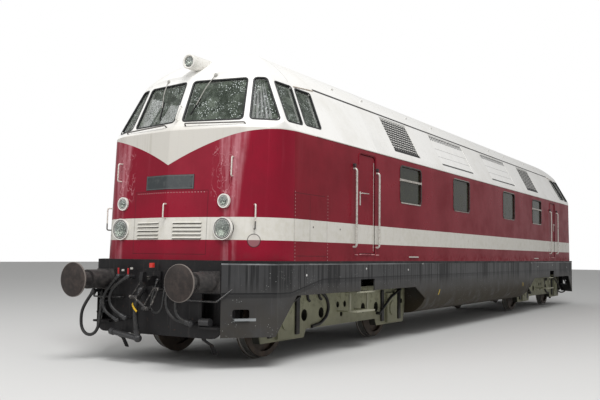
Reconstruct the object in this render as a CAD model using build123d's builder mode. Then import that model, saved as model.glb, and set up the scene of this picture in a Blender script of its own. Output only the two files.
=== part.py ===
"""Diesel-hydraulic locomotive with a cab at each end, on two four-wheeled bogies.

+X points to the cab that leads, +Y to its left and +Z up. The origin is under the middle of the
locomotive, at the height of the lowest points of the wheel flanges. Sizes are in millimetres.
"""

import os
from collections import namedtuple
from math import asin, atan2, cos, degrees, pi, radians, sin, sqrt, tan

from build123d import *

os.makedirs("parts", exist_ok=True)

# Wheels and axles
flange_depth = 30
rail = flange_depth  # height of the rail head, from which every other height is counted
gauge_back_to_back = 1360
wheel_diameter = 1000
wheel_width = 140
flange_width = 32
tyre_thickness = 75
web_thickness = 30
hub_radius = 130
hub_width = 190
axle_radius = 90
journal_radius = 65
axle_length = 2240
running_clearance = 0.3

# Bogies
bogie_spacing = 12100
wheelbase = 3500
side_frame_y = 1000  # inner face
side_frame_thickness = 120
side_frame_top = rail + 900
side_frame_bottom = rail + 350
side_frame_half_length = 2390
horn_gap = 400
horn_top = rail + 760
keeper_z = rail + 235
keeper_thickness = 30
keeper_half_length = 550
keeper_ramp = 60
transom_offset = 520
transom_width = 160
transom_bottom = rail + 520
bolster_bore = 150
pivot_radius = 149.5
end_beam_height = 180
end_beam = 60
axlebox_outer_y = 1165
step_treads = (rail + 540, rail + 832)  # underside of each
step_half_width = 310
step_centre = -100  # from the bogie's pivot, towards the middle of the locomotive
step_depth = 150
step_outer_y = 1470
step_thickness = 22
step_post = 30

# Body shell
body_bottom = rail + 1316
belt = rail + 3030
waist = rail + 3130
gutter = rail + 3840
half_width = 1507
slope_lean = 27.24
wall = 60
cab_joint = 5620
roof_joint = 2550
roof_radius = 1385
roof_wall = 60

# Nose and cab front
nose_base = 9000
nose_belt = 8920
nose_sweep = 8.6
nose_corner_base = 10150  # where the corner's tangent plane would cross the centre line
nose_corner_belt = 10060
nose_corner_sweep = 49
nose_corner_radius = 730
screen_foot = 8794
screen_lean = 23.35
screen_sweep = 12.42
corner_foot = 8999
corner_lean = 24.8
corner_sweep = 23.3
screen_post_radius = 60
corner_post_radius = 30
nose_post_radius = 120
brow_start = 7246
brow_radius = 1720
brow_axis = 6322

# Glass
glass_thickness = 8
glass_inset = 22
pane_corner = 45
frame_width = 24
frame_proud = 8

# Doors
door_near = 5735
door_far = 6301
door_sill = rail + 1424
door_top = rail + 2951
door_corner = 70
door_thickness = 40
door_inset = 14
door_gap = 10
hinge_gap_half = 3
hinge_radius = 13
hinge_pin = 7
hinge_height = 70
hinge_drop = 20  # from the wall's inner face to the pin

# Underframe, skirts and buffers
deck_thickness = 34
deck_length = 9120
front_half_width = 1040
taper_start = 8560
sill_bottom = rail + 1070
sill_y = 330
sill_width = 120
skirt_y = 1500
skirt_thickness = 20
skirt_over_bogie = rail + 865
front_cut_x = 8070
rear_cut_x = 4055
belly_x = 3580
skirt_bottom = rail + 370
belly_round = 420
headstock_thickness = 40
pocket_y = 749
pocket_low = rail + 500
pocket_high = rail + 902
buffer_y = 875
buffer_z = rail + 1050
buffer_length = 610  # from the headstock to the face
buffer_face = deck_length + buffer_length
buffer_head_radius = 225

Level = namedtuple("Level", "z tip sweep corner corner_sweep side lean side_lean corner_r post_r")


def upper_level(z):
    """The outline of the leaning cab faces at height z."""
    rise = z - waist
    return Level(
        z,
        screen_foot - rise * tan(radians(screen_lean)),
        screen_sweep,
        corner_foot - rise * tan(radians(corner_lean)),
        corner_sweep,
        half_width - (z - belt) * tan(radians(slope_lean)),
        screen_lean,
        slope_lean,
        corner_post_radius,
        screen_post_radius,
    )


def lower_level(z, tip, corner):
    """The outline of the upright nose at height z."""
    return Level(
        z, tip, nose_sweep, corner, nose_corner_sweep, half_width, 0, 0,
        nose_corner_radius, nose_post_radius,
    )


levels = [
    lower_level(body_bottom, nose_base, nose_corner_base),
    lower_level(belt, nose_belt, nose_corner_belt),
    upper_level(waist),
    upper_level(gutter),
]


def side_at(level, inset):
    """Half the width of the body at a level, inside a skin of the given thickness."""
    return level.side - inset / cos(radians(level.side_lean))


def outline_points(level, inset, rear):
    """Left half of the body's outline seen from above, from the rear to the tip."""
    lean = cos(radians(level.lean))
    front_slope = tan(radians(level.sweep))
    corner_slope = tan(radians(level.corner_sweep))
    tip = level.tip - inset / cos(radians(level.sweep)) / lean
    corner = level.corner - inset / cos(radians(level.corner_sweep)) / lean
    side = side_at(level, inset)
    post_y = (corner - tip) / (corner_slope - front_slope)
    return [
        (rear, side),
        (corner - side * corner_slope, side),
        (tip - post_y * front_slope, post_y),
        (tip, 0),
    ]


least_radius = 15  # of the inside of a post


def outline_sketch(level, inset, rear):
    """The whole outline at a level as a face."""
    left = outline_points(level, inset, rear)
    points = left + [(x, -y) for x, y in left[-2::-1]]
    corner = max(level.corner_r - inset, least_radius)
    post = max(level.post_r - inset, least_radius)
    with BuildSketch(Plane.XY.offset(level.z)) as sketch:
        with BuildLine():
            FilletPolyline(*points, radius=[corner, corner, post, corner, corner])
            Line(points[-1], points[0])
        make_face()
    return sketch.sketch


def section_points(inset):
    """Left half of the body's cross-section below the gutter, as (y, z)."""
    return [(side_at(level, inset), level.z) for level in levels]


def arch_sketch(x, inset):
    """The roof arch above the gutter, across the body."""
    radius = roof_radius - inset
    centre = roof_crown - roof_radius
    half = sqrt(radius**2 - (gutter - centre) ** 2)
    with BuildSketch(Plane.YZ.offset(x)) as sketch:
        with BuildLine():
            ThreePointArc((-half, gutter), (0, centre + radius), (half, gutter))
            Line((half, gutter), (-half, gutter))
        make_face()
    return sketch.sketch


gutter_half = side_at(levels[-1], 0)
roof_crown = gutter - sqrt(roof_radius**2 - gutter_half**2) + roof_radius
brow_centre_z = roof_crown - brow_radius


def cab_form(inset):
    """The solid form of one cab and nose, set in by the given skin thickness."""
    with BuildPart() as dome:
        with BuildSketch(Plane.XZ) as brow:
            with BuildLine():
                start = brow_start - brow_axis
                radius = brow_radius - inset
                reach = start + sqrt(radius**2 - (gutter - brow_centre_z) ** 2)
                bend = atan2(gutter - brow_centre_z, reach - start)
                middle = (bend + radians(90)) / 2
                edge = ThreePointArc(
                    (start, brow_centre_z + radius),
                    (start + radius * cos(middle), brow_centre_z + radius * sin(middle)),
                    (reach, gutter),
                )
                Polyline((reach, gutter), (0, gutter), (0, brow_centre_z + radius), edge @ 0)
            make_face()
        revolve(axis=Axis.Z)
    with BuildPart() as cap:
        extrude(arch_sketch(cab_joint, inset), amount=brow_start - cab_joint)
    with BuildPart() as brow_cap:
        extrude(arch_sketch(brow_start, inset), amount=nose_base - brow_start)
        add(dome.part.moved(Location((brow_axis, 0, 0))), mode=Mode.INTERSECT)
        extrude(outline_sketch(levels[-1], inset, cab_joint), amount=roof_radius, mode=Mode.INTERSECT)
    with BuildPart() as form:
        for low, high in zip(levels, levels[1:]):
            loft([outline_sketch(level, inset, cab_joint) for level in (low, high)], ruled=True)
        add(cap.part)
        add(brow_cap.part)
    return form.part


def face_plane(sweep, lean, foot, foot_z):
    """Plane of a leaning face, with x level and outboard and y up the face."""
    across = Vector(-tan(radians(sweep)), 1, 0)
    outward = Vector(1, tan(radians(sweep)), tan(radians(lean)))
    return Plane(origin=(foot, 0, foot_z), x_dir=across, z_dir=outward)


nose_lean = degrees(atan2(nose_base - nose_belt, belt - body_bottom))
nose_plane = face_plane(nose_sweep, nose_lean, nose_base, body_bottom)
screen_plane = face_plane(screen_sweep, screen_lean, screen_foot, waist)
corner_plane = face_plane(corner_sweep, corner_lean, corner_foot, waist)
slope_plane = Plane(
    origin=(0, side_at(levels[2], 0), waist),
    x_dir=(-1, 0, 0),
    z_dir=(0, 1, tan(radians(slope_lean))),
)


def front_corner(plane, y, height):
    """A pane corner at a sideways place y and a height, in the pane's own plane."""
    z = rail + height
    foot = plane.origin.X
    normal = plane.z_dir
    x = foot - (normal.Y * y + normal.Z * (z - waist)) / normal.X
    local = plane.to_local_coords(Vector(x, y, z))
    return (local.X, local.Y)


def slope_corner(x, height):
    """A corner on the sloping side at a lengthwise place x and a height."""
    z = rail + height
    y = half_width - (z - belt) * tan(radians(slope_lean))
    local = slope_plane.to_local_coords(Vector(x, y, z))
    return (local.X, local.Y)


# Corners of the cab panes on the left of the leading end: y or x, and height above the rail
screen_corners = ((72, 3180), (930, 3176), (838, 3776), (65, 3768))
corner_corners = ((1029, 3178), (1400, 3152), (1082, 3770), (928, 3776))
front_side_corners = ((8272, 3152), (7880, 3158), (7712, 3742), (8142, 3738))
rear_side_corners = ((7788, 3170), (7352, 3174), (7196, 3736), (7628, 3732))
cab_panes = [
    (screen_plane, [front_corner(screen_plane, *c) for c in screen_corners]),
    (corner_plane, [front_corner(corner_plane, *c) for c in corner_corners]),
    (slope_plane, [slope_corner(*c) for c in front_side_corners]),
    (slope_plane, [slope_corner(*c) for c in rear_side_corners]),
]

# Side windows of the engine room: near x, far x, low z, high z, with a bar across or not
side_windows = [
    (3839, 4744, rail + 2314, rail + 2918, True),
    (1203, 2152, rail + 2326, rail + 2932, False),
]
window_bar_z = rail + 2690

# Openings in the sloping side: near x, far x
grille_panels = [(3660, 4800)]
louvre_panels = [(640, 2540)]
panel_low = 3170
panel_high = 3790


def pane_prism(plane, corners, start, depth, radius):
    """A pane's outline carried inwards, from a distance inside the skin."""
    with BuildPart() as prism:
        with BuildSketch(plane.offset(-start)) as pane:
            with BuildLine():
                Polyline(*corners, close=True)
            make_face()
            fillet(pane.vertices(), radius=radius)
        extrude(amount=-depth)
    return prism.part


def both_sides(part):
    """A part of the left side together with its twin on the right."""
    with BuildPart() as pair:
        add(part)
        mirror(part, about=Plane.XZ)
    return pair.part


# Doors
door_height = door_top - door_sill


def door_sketch(plane, gap, hinge_gap):
    """Outline of a door opening, or of its leaf where the gaps are given."""
    left = door_near + hinge_gap
    right = door_far - gap
    low = door_sill + gap
    high = door_top - gap
    with BuildSketch(plane) as sketch:
        with BuildLine():
            Polyline((left, low), (right, low), (right, high), (left, high), close=True)
        make_face()
        fillet(sketch.vertices().group_by(Axis.Y)[-1], radius=door_corner)
    return sketch.sketch


side_plane = Plane(origin=(0, 0, 0), x_dir=(1, 0, 0), z_dir=(0, -1, 0))
inner_wall = half_width - wall
leaf_outer = half_width - door_inset
leaf_inner = leaf_outer - door_thickness
hinge_axis_x = door_near + hinge_gap_half
hinge_axis_y = inner_wall - hinge_drop
hinge_edge = 260
hinge_zs = (door_sill + hinge_edge, door_top - hinge_edge)
strap_length = 70
strap_thickness = 14
knuckle_play = 1


low_aligned = (Align.CENTER, Align.CENTER, Align.MIN)
corner_aligned = (Align.MIN, Align.MIN, Align.MIN)
inner_strap_y = hinge_axis_y + 5

with BuildPart() as left_leaf:
    leaf_face = door_sketch(side_plane.offset(-leaf_outer), door_gap, hinge_gap_half * 2)
    extrude(leaf_face, amount=door_thickness)
    for hinge_z in hinge_zs:
        strap_low = hinge_z - hinge_height / 2
        with Locations((hinge_axis_x + hinge_gap_half, inner_strap_y, strap_low)):
            Box(strap_length, leaf_inner - inner_strap_y, hinge_height, align=corner_aligned)
        with Locations((hinge_axis_x, hinge_axis_y, strap_low)):
            Cylinder(hinge_radius, hinge_height, align=low_aligned)
            Cylinder(hinge_pin + running_clearance, hinge_height, align=low_aligned, mode=Mode.SUBTRACT)

with BuildPart() as left_hinges:
    for hinge_z in hinge_zs:
        knuckle = hinge_height / 2
        with Locations((hinge_axis_x, hinge_axis_y, hinge_z)):
            Cylinder(hinge_pin, 4 * knuckle + 2 * knuckle_play)
        for low in (hinge_z - 2 * knuckle - knuckle_play, hinge_z + knuckle + knuckle_play):
            with Locations((hinge_axis_x, hinge_axis_y, low)):
                Cylinder(hinge_radius, knuckle, align=low_aligned)
            with Locations((hinge_axis_x, inner_wall, low)):
                Box(
                    strap_length, inner_wall - inner_strap_y, knuckle,
                    align=(Align.MAX, Align.MAX, Align.MIN),
                )

door_places = [("door_1_left", False, False), ("door_1_right", False, True)]
door_places += [("door_2_left", True, False), ("door_2_right", True, True)]


def placed(part, far_end, right):
    """A part of the left leading corner carried to another corner of the locomotive."""
    turned = part
    if far_end:
        turned = mirror(turned, about=Plane.YZ)
    if right:
        turned = mirror(turned, about=Plane.XZ)
    return turned


def at_both_ends(part):
    """A part of the leading end together with its twin at the other end."""
    with BuildPart() as pair:
        add(part)
        mirror(part, about=Plane.YZ)
    return pair.part


for label, far_end, right in door_places:
    leaf = placed(left_leaf.part, far_end, right)
    with BuildPart() as door:
        add(leaf)
    door.part.label = label
    export_step(door.part, f"parts/{label}.step")

with BuildPart() as door_hinges:
    add(at_both_ends(both_sides(left_hinges.part)))
door_hinges.part.label = "door_hinges"
export_step(door_hinges.part, "parts/door_hinges.step")

# Cab shells
with BuildPart() as left_cuts:
    for plane, corners in cab_panes:
        add(pane_prism(plane, corners, -wall, 3 * wall, pane_corner))
    extrude(door_sketch(side_plane.offset(-half_width - wall), 0, 0), amount=3 * wall)

lamp_y = 873
lamp_z = rail + 1723
lamp_radius = 147
lamp_face = 8896
marker_y = 865
marker_z = rail + 2076
marker_radius = 92
marker_face = 8872
lamp_depth = 130
lamp_rim = 16
lamps = [(lamp_y, lamp_z, lamp_radius, lamp_face), (marker_y, marker_z, marker_radius, marker_face)]

with BuildPart() as lamp_holes:
    for y, z, radius, face in lamps:
        with Locations(Plane(origin=(face, y, z), x_dir=(0, 1, 0), z_dir=(-1, 0, 0))):
            Cylinder(radius - lamp_rim, lamp_depth, align=low_aligned)

cab_inner = cab_form(wall)
with BuildPart() as cab_1:
    add(cab_form(0))
    add(cab_inner, mode=Mode.SUBTRACT)
    add(both_sides(left_cuts.part), mode=Mode.SUBTRACT)
    add(both_sides(lamp_holes.part), mode=Mode.SUBTRACT)
cab_1.part.label = "cab_shell_1"
export_step(cab_1.part, "parts/cab_shell_1.step")

with BuildPart() as cab_2:
    add(cab_1.part.rotate(Axis.Z, 180))
cab_2.part.label = "cab_shell_2"
export_step(cab_2.part, "parts/cab_shell_2.step")

# Side walls of the engine room, from the deck to the gutter
def wall_sketch(x, outer, inner):
    """The left wall's section across the body, between two depths from the outside."""
    outside = section_points(outer)
    inside = section_points(inner)
    with BuildSketch(Plane.YZ.offset(x)) as sketch:
        with BuildLine():
            Polyline(*outside, *inside[::-1], close=True)
        make_face()
    return sketch.sketch


def window_prism(near, far, low, high, start, depth):
    """A side window's outline carried inwards, from a distance inside the wall."""
    with BuildPart() as prism:
        with BuildSketch(side_plane.offset(start - half_width)):
            with Locations(((near + far) / 2, (low + high) / 2)):
                RectangleRounded(far - near, high - low, window_corner)
        extrude(amount=depth)
    return prism.part


def slope_panel(near, far, grow, start, depth):
    """A panel's outline on the sloping side, carried inwards from a distance inside the skin."""
    low = slope_corner(near, panel_low)[1] - grow
    high = slope_corner(near, panel_high)[1] + grow
    middle = (near + far) / 2
    with BuildPart() as prism:
        with BuildSketch(slope_plane.offset(-start)):
            with Locations((-middle, (low + high) / 2)):
                Rectangle(far - near + 2 * grow, high - low)
        extrude(amount=-depth)
    return prism.part


window_corner = 70
with BuildPart() as wall_cuts:
    for near, far, low, high, barred in side_windows:
        add(window_prism(near, far, low, high, -wall, 3 * wall))
    for near, far in grille_panels + louvre_panels:
        add(slope_panel(near, far, 0, -wall, 3 * wall))
all_wall_cuts = at_both_ends(wall_cuts.part)

with BuildPart() as side_wall_left:
    extrude(wall_sketch(-cab_joint, 0, wall), amount=2 * cab_joint)
    add(all_wall_cuts, mode=Mode.SUBTRACT)
side_wall_left.part.label = "side_wall_left"
export_step(side_wall_left.part, "parts/side_wall_left.step")

with BuildPart() as side_wall_right:
    mirror(side_wall_left.part, about=Plane.XZ)
side_wall_right.part.label = "side_wall_right"
export_step(side_wall_right.part, "parts/side_wall_right.step")

# Roof hatches, lifted off for work on the engines
hatch_gap = 6
fan_x = 1275
fan_radius = 560
exhaust_x = 3700
exhaust_y = 330
exhaust_radius = 130
vents = [
    (fan_x, 0, fan_radius), (exhaust_x, exhaust_y, exhaust_radius), (exhaust_x, -exhaust_y, exhaust_radius),
]
hatch_spans = [(-cab_joint, -roof_joint), (-roof_joint, roof_joint), (roof_joint, cab_joint)]
with BuildPart() as roof_hatches:
    for start, end in hatch_spans:
        low_end = start + (hatch_gap / 2 if start > -cab_joint else 0)
        high_end = end - (hatch_gap / 2 if end < cab_joint else 0)
        extrude(arch_sketch(low_end, 0), amount=high_end - low_end)
    extrude(arch_sketch(-cab_joint, roof_wall), amount=2 * cab_joint, mode=Mode.SUBTRACT)
    for x, y, radius in vents:
        with Locations((x, y, gutter), (-x, y, gutter)):
            Cylinder(radius, roof_radius, align=low_aligned, mode=Mode.SUBTRACT)
roof_hatches.part.label = "roof_hatches"
export_step(roof_hatches.part, "parts/roof_hatches.step")

# Grilles and louvres in the sloping sides
panel_border = 26
slat_thickness = 7
grille_rows = 13
louvre_columns = 24
louvre_rows = 3


def slatted_panel(near, far, rows, columns):
    """A framed panel with bars across and upright slats, flush with the sloping side."""
    low = slope_corner(near, panel_low)[1]
    high = slope_corner(near, panel_high)[1]
    width = far - near
    with BuildPart() as panel:
        with BuildSketch(slope_plane.offset(-panel_recess)):
            with Locations((-(near + far) / 2, (low + high) / 2)):
                Rectangle(width, high - low)
                Rectangle(width - 2 * panel_border, high - low - 2 * panel_border, mode=Mode.SUBTRACT)
                row_step = (high - low - 2 * panel_border) / (rows + 1)
                with GridLocations(0, row_step, 1, rows):
                    Rectangle(width - panel_border, slat_thickness)
                if columns:
                    with GridLocations((width - 2 * panel_border) / (columns + 1), 0, columns, 1):
                        Rectangle(slat_thickness, high - low - panel_border)
        extrude(amount=-panel_depth)
    return panel.part


panel_recess = 12
panel_depth = 30
with BuildPart() as left_grille:
    for near, far in grille_panels:
        add(slatted_panel(near, far, grille_rows, 0))
all_grilles = at_both_ends(both_sides(left_grille.part))
with BuildPart() as slope_grilles:
    add(all_grilles)
slope_grilles.part.label = "slope_grilles"
export_step(slope_grilles.part, "parts/slope_grilles.step")

with BuildPart() as left_louvre:
    for near, far in louvre_panels:
        add(slatted_panel(near, far, louvre_rows, louvre_columns))
all_louvres = at_both_ends(both_sides(left_louvre.part))
with BuildPart() as slope_louvres:
    add(all_louvres)
slope_louvres.part.label = "slope_louvres"
export_step(slope_louvres.part, "parts/slope_louvres.step")

# Glass and window frames
with BuildPart() as left_cab_glass:
    for plane, corners in cab_panes:
        add(pane_prism(plane, corners, glass_inset, glass_thickness, pane_corner))
all_cab_glass = at_both_ends(both_sides(left_cab_glass.part))
with BuildPart() as cab_glass:
    add(all_cab_glass)
cab_glass.part.label = "cab_glass"
export_step(cab_glass.part, "parts/cab_glass.step")

with BuildPart() as left_side_glass:
    for near, far, low, high, barred in side_windows:
        add(window_prism(near, far, low, high, glass_inset, glass_thickness))
all_side_glass = at_both_ends(both_sides(left_side_glass.part))
with BuildPart() as side_glass:
    add(all_side_glass)
side_glass.part.label = "side_window_glass"
export_step(side_glass.part, "parts/side_window_glass.step")

window_bar = 34
with BuildPart() as left_frames:
    for near, far, low, high, barred in side_windows:
        with BuildSketch(side_plane.offset(-half_width - frame_proud)):
            with Locations(((near + far) / 2, (low + high) / 2)):
                across = far - near
                up = high - low
                RectangleRounded(across + 2 * frame_width, up + 2 * frame_width, window_corner + frame_width)
                RectangleRounded(across, up, window_corner, mode=Mode.SUBTRACT)
        extrude(amount=frame_proud)
        if barred:
            bar_depth = frame_proud + glass_inset
            with Locations(((near + far) / 2, half_width + frame_proud - bar_depth / 2, window_bar_z)):
                Box(far - near, bar_depth, window_bar)
all_frames = at_both_ends(both_sides(left_frames.part))
with BuildPart() as window_frames:
    add(all_frames)
window_frames.part.label = "window_frames"
export_step(window_frames.part, "parts/window_frames.step")

# Floors of the vestibules and of the raised cabs, with the bulkhead between them
bulkhead_x = 6900
bulkhead_thickness = 40
cab_floor = rail + 2050
floor_thickness = 60
floor_gap = 0.3
doorway_half = 330
doorway_top = rail + 3900
cab_floor_reach = 8560
cab_floor_half = 1180


def cross_section(x, inset):
    """The whole cross-section of the body, set in from the outside."""
    left = section_points(inset)
    radius = roof_radius - inset
    centre = roof_crown - roof_radius
    half = sqrt(radius**2 - (gutter - centre) ** 2)
    right = [(-y, z) for y, z in left]
    with BuildSketch(Plane.YZ.offset(x)) as sketch:
        with BuildLine():
            Polyline((half, gutter), *left[::-1], *right, (-half, gutter))
            ThreePointArc((-half, gutter), (0, centre + radius), (half, gutter))
        make_face()
    return sketch.sketch


with BuildPart() as cab_floor_1:
    extrude(cross_section(bulkhead_x, wall + floor_gap), amount=bulkhead_thickness)
    with Locations((bulkhead_x, 0, cab_floor)):
        Box(
            4 * bulkhead_thickness, 2 * doorway_half, doorway_top - cab_floor,
            align=low_aligned, mode=Mode.SUBTRACT,
        )
    with Locations((cab_joint, 0, body_bottom)):
        Box(
            bulkhead_x - cab_joint, 2 * (inner_wall - floor_gap), door_sill - body_bottom - door_gap / 2,
            align=(Align.MIN, Align.CENTER, Align.MIN),
        )
    with Locations((bulkhead_x, 0, cab_floor)):
        Box(
            cab_floor_reach - bulkhead_x, 2 * cab_floor_half, floor_thickness,
            align=(Align.MIN, Align.CENTER, Align.MAX),
        )
    for support_x in (cab_floor_reach - bulkhead_thickness, (cab_floor_reach + bulkhead_x) / 2):
        with Locations((support_x, 0, body_bottom)):
            Box(
                bulkhead_thickness, 2 * cab_floor_half, cab_floor - body_bottom,
                align=(Align.MIN, Align.CENTER, Align.MIN),
            )
all_floors = at_both_ends(cab_floor_1.part)
with BuildPart() as cab_floors:
    add(all_floors)
cab_floors.part.label = "cab_floors"
export_step(cab_floors.part, "parts/cab_floors.step")

# Driving desks under the front windows
desk_top = rail + 2960
desk_back = 8540
desk_front = 8060
desk_half = 1050
desk_lip = 90
desk_knee = 8330
with BuildPart() as desk_1:
    with BuildSketch(Plane.XZ.offset(-desk_half)):
        with BuildLine():
            Polyline(
                (desk_knee, cab_floor), (desk_back, cab_floor), (desk_back, desk_top), (desk_knee, desk_top),
                (desk_front, desk_top - desk_lip), (desk_front, desk_top - 2 * desk_lip),
                (desk_knee, desk_top - 4 * desk_lip), close=True,
            )
        make_face()
    extrude(amount=2 * desk_half)
both_desks = at_both_ends(desk_1.part)
with BuildPart() as desks:
    add(both_desks)
desks.part.label = "driving_desks"
export_step(desks.part, "parts/driving_desks.step")

# Seats of the driver and the second hand
seat_x = 7650
seat_y = 620
seat_height = 480
seat_width = 460
seat_pad = 110
seat_back_height = 560
seat_back_thickness = 90
seat_column = 55
seat_foot = 170
seat_foot_height = 16
with BuildPart() as seat_stand:
    with Locations((seat_x, seat_y, cab_floor)):
        Cylinder(seat_foot, seat_foot_height, align=low_aligned)
        Cylinder(seat_column, seat_height - seat_pad, align=low_aligned)
all_stands = at_both_ends(both_sides(seat_stand.part))
with BuildPart() as seat_stands:
    add(all_stands)
seat_stands.part.label = "seat_stands"
export_step(seat_stands.part, "parts/seat_stands.step")

with BuildPart() as seat_pads_1:
    with Locations((seat_x, seat_y, cab_floor + seat_height - seat_pad)):
        Box(seat_width, seat_width, seat_pad, align=low_aligned)
    with Locations((seat_x - seat_width / 2, seat_y, cab_floor + seat_height - seat_pad)):
        Box(
            seat_back_thickness, seat_width, seat_back_height + seat_pad,
            align=(Align.MAX, Align.CENTER, Align.MIN),
        )
    fillet(seat_pads_1.edges().filter_by(Axis.Z), radius=seat_back_thickness / 4)
all_pads = at_both_ends(both_sides(seat_pads_1.part))
with BuildPart() as seats:
    add(all_pads)
seats.part.label = "cab_seats"
export_step(seats.part, "parts/cab_seats.step")

# Engines on the deck
engine_x = 3300
engine_length = 2300
engine_width = 1150
engine_height = 1450
with BuildPart() as engines:
    with Locations((engine_x, 0, body_bottom), (-engine_x, 0, body_bottom)):
        Box(engine_length, engine_width, engine_height, align=low_aligned)
engines.part.label = "engines"
export_step(engines.part, "parts/engines.step")

# Head and marker lamps
with BuildPart() as left_lamps:
    for y, z, radius, face in lamps:
        with Locations(Plane(origin=(face, y, z), x_dir=(0, 1, 0), z_dir=(-1, 0, 0))):
            Cylinder(radius, 2 * lamp_rim, align=low_aligned)
            Cylinder(radius - lamp_rim, lamp_depth, align=low_aligned)
            Cylinder(radius - 2 * lamp_rim, 2 * lamp_rim, align=low_aligned, mode=Mode.SUBTRACT)
    add(cab_1.part, mode=Mode.SUBTRACT)
all_lamps = at_both_ends(both_sides(left_lamps.part))
with BuildPart() as headlamps:
    add(all_lamps)
headlamps.part.label = "headlamps"
export_step(headlamps.part, "parts/headlamps.step")

# Lamp on the brow
roof_lamp_x = 8560
roof_lamp_z = rail + 4050
roof_lamp_radius = 104
roof_lamp_length = 520
with BuildPart() as roof_lamp_1:
    with Locations(Plane(origin=(roof_lamp_x, 0, roof_lamp_z), x_dir=(0, 1, 0), z_dir=(-1, 0, 0))):
        Cylinder(roof_lamp_radius, roof_lamp_length, align=low_aligned)
        Cylinder(roof_lamp_radius - lamp_rim, 2 * lamp_rim, align=low_aligned, mode=Mode.SUBTRACT)
    add(cab_form(0), mode=Mode.SUBTRACT)
both_roof_lamps = at_both_ends(roof_lamp_1.part)
with BuildPart() as roof_lamps:
    add(both_roof_lamps)
roof_lamps.part.label = "roof_lamps"
export_step(roof_lamps.part, "parts/roof_lamps.step")

# Fan grilles and exhausts, let into the roof hatches
vent_wall = 24
vent_drop = 4  # of the fan grilles below the roof's skin
exhaust_drop = 10  # of the exhausts' flat grilles, at their middle
vent_bar = 14
vent_pitch = 70
vent_depth = 54


def arch_form(inset):
    """The roof's arch as a whole cylinder, from the middle of the locomotive to the cab."""
    with BuildPart() as form:
        with BuildSketch(Plane.YZ):
            with Locations((0, roof_crown - roof_radius)):
                Circle(roof_radius - inset)
        extrude(amount=cab_joint)
    return form.part


def upright_ring(x, y, radius):
    """The rim of a vent, upright through the roof."""
    with BuildPart() as rim:
        with BuildSketch(Plane.XY.offset(gutter)):
            with Locations((x, y)):
                Circle(radius)
                Circle(radius - vent_wall, mode=Mode.SUBTRACT)
        extrude(amount=roof_radius)
    return rim.part


def upright_bars(x, y, radius, count, turn):
    """Bars across a vent, upright through the roof. A turn of 90 degrees lays them along it."""
    with BuildPart() as bars:
        with BuildSketch(Plane.XY.offset(gutter)):
            with Locations(Location((x, y, 0), (0, 0, turn))):
                with GridLocations(vent_pitch, 0, count, 1):
                    Rectangle(vent_bar, 2 * radius)
                Circle(radius - vent_wall / 2, mode=Mode.INTERSECT)
        extrude(amount=roof_radius)
    return bars.part


fan_bars = 2 * int(fan_radius / vent_pitch) - 1
# Inset below the roof's skin and depth of a fan's rim, long bar and cross bars
fan_layers = [
    (upright_ring(fan_x, 0, fan_radius), vent_drop, vent_depth),
    (upright_bars(fan_x, 0, fan_radius, 1, 90), 1.5 * vent_drop, 0.7 * vent_depth),
    (upright_bars(fan_x, 0, fan_radius, fan_bars, 0), 2 * vent_drop, 0.5 * vent_depth),
]
with BuildPart() as fan_grille:
    for upright, inset, depth in fan_layers:
        with BuildPart(mode=Mode.PRIVATE) as layer:
            add(upright)
            add(arch_form(inset), mode=Mode.INTERSECT)
            add(arch_form(inset + depth), mode=Mode.SUBTRACT)
        add(layer.part)
with BuildPart() as exhaust_left:
    add(upright_ring(exhaust_x, exhaust_y, exhaust_radius))
    for turn in (0, 90):
        add(upright_bars(exhaust_x, exhaust_y, exhaust_radius, 1, turn))
    exhaust_lean = degrees(asin(exhaust_y / roof_radius))
    with Locations(Location((exhaust_x, 0, roof_crown - roof_radius), (-exhaust_lean, 0, 0))):
        with Locations((0, 0, roof_radius - exhaust_drop - vent_depth)):
            Box(3 * exhaust_radius, 3 * exhaust_radius, vent_depth, align=low_aligned, mode=Mode.INTERSECT)
with BuildPart() as vents_1:
    add(fan_grille.part)
    add(both_sides(exhaust_left.part))
all_vents = at_both_ends(vents_1.part)
with BuildPart() as roof_vents:
    add(all_vents)
roof_vents.part.label = "roof_vents"
export_step(roof_vents.part, "parts/roof_vents.step")

# Handrails beside the doors
rail_radius = 16
rail_standoff = 55
rail_bend = 40
rail_low = rail + 1526
rail_high = rail + 2700
door_rail_xs = (5690, 6480)
with BuildPart() as left_rails:
    for x in door_rail_xs:
        with BuildLine() as path:
            FilletPolyline(
                (x, half_width, rail_low), (x, half_width + rail_standoff, rail_low),
                (x, half_width + rail_standoff, rail_high), (x, half_width, rail_high),
                radius=rail_bend,
            )
        with BuildSketch(Plane(origin=path.line @ 0, z_dir=path.line % 0)):
            Circle(rail_radius)
        sweep()
all_rails = at_both_ends(both_sides(left_rails.part))
with BuildPart() as handrails:
    add(all_rails)
handrails.part.label = "door_handrails"
export_step(handrails.part, "parts/door_handrails.step")

# Underframe
bolster_length = 560
bolster_half = 1400
cross_xs = (1200, 2900, 4700, 7400, 8500)
cross_width = 90
cross_height = 150
deck_bottom = body_bottom - deck_thickness
pivot_bottom = rail + 560


def deck_outline():
    """The deck's outline, tapered at both ends, as corner points."""
    front = [(deck_length, front_half_width), (taper_start, half_width)]
    left = front + [(-x, y) for x, y in front[::-1]]
    return left + [(x, -y) for x, y in left[::-1]]


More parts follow.
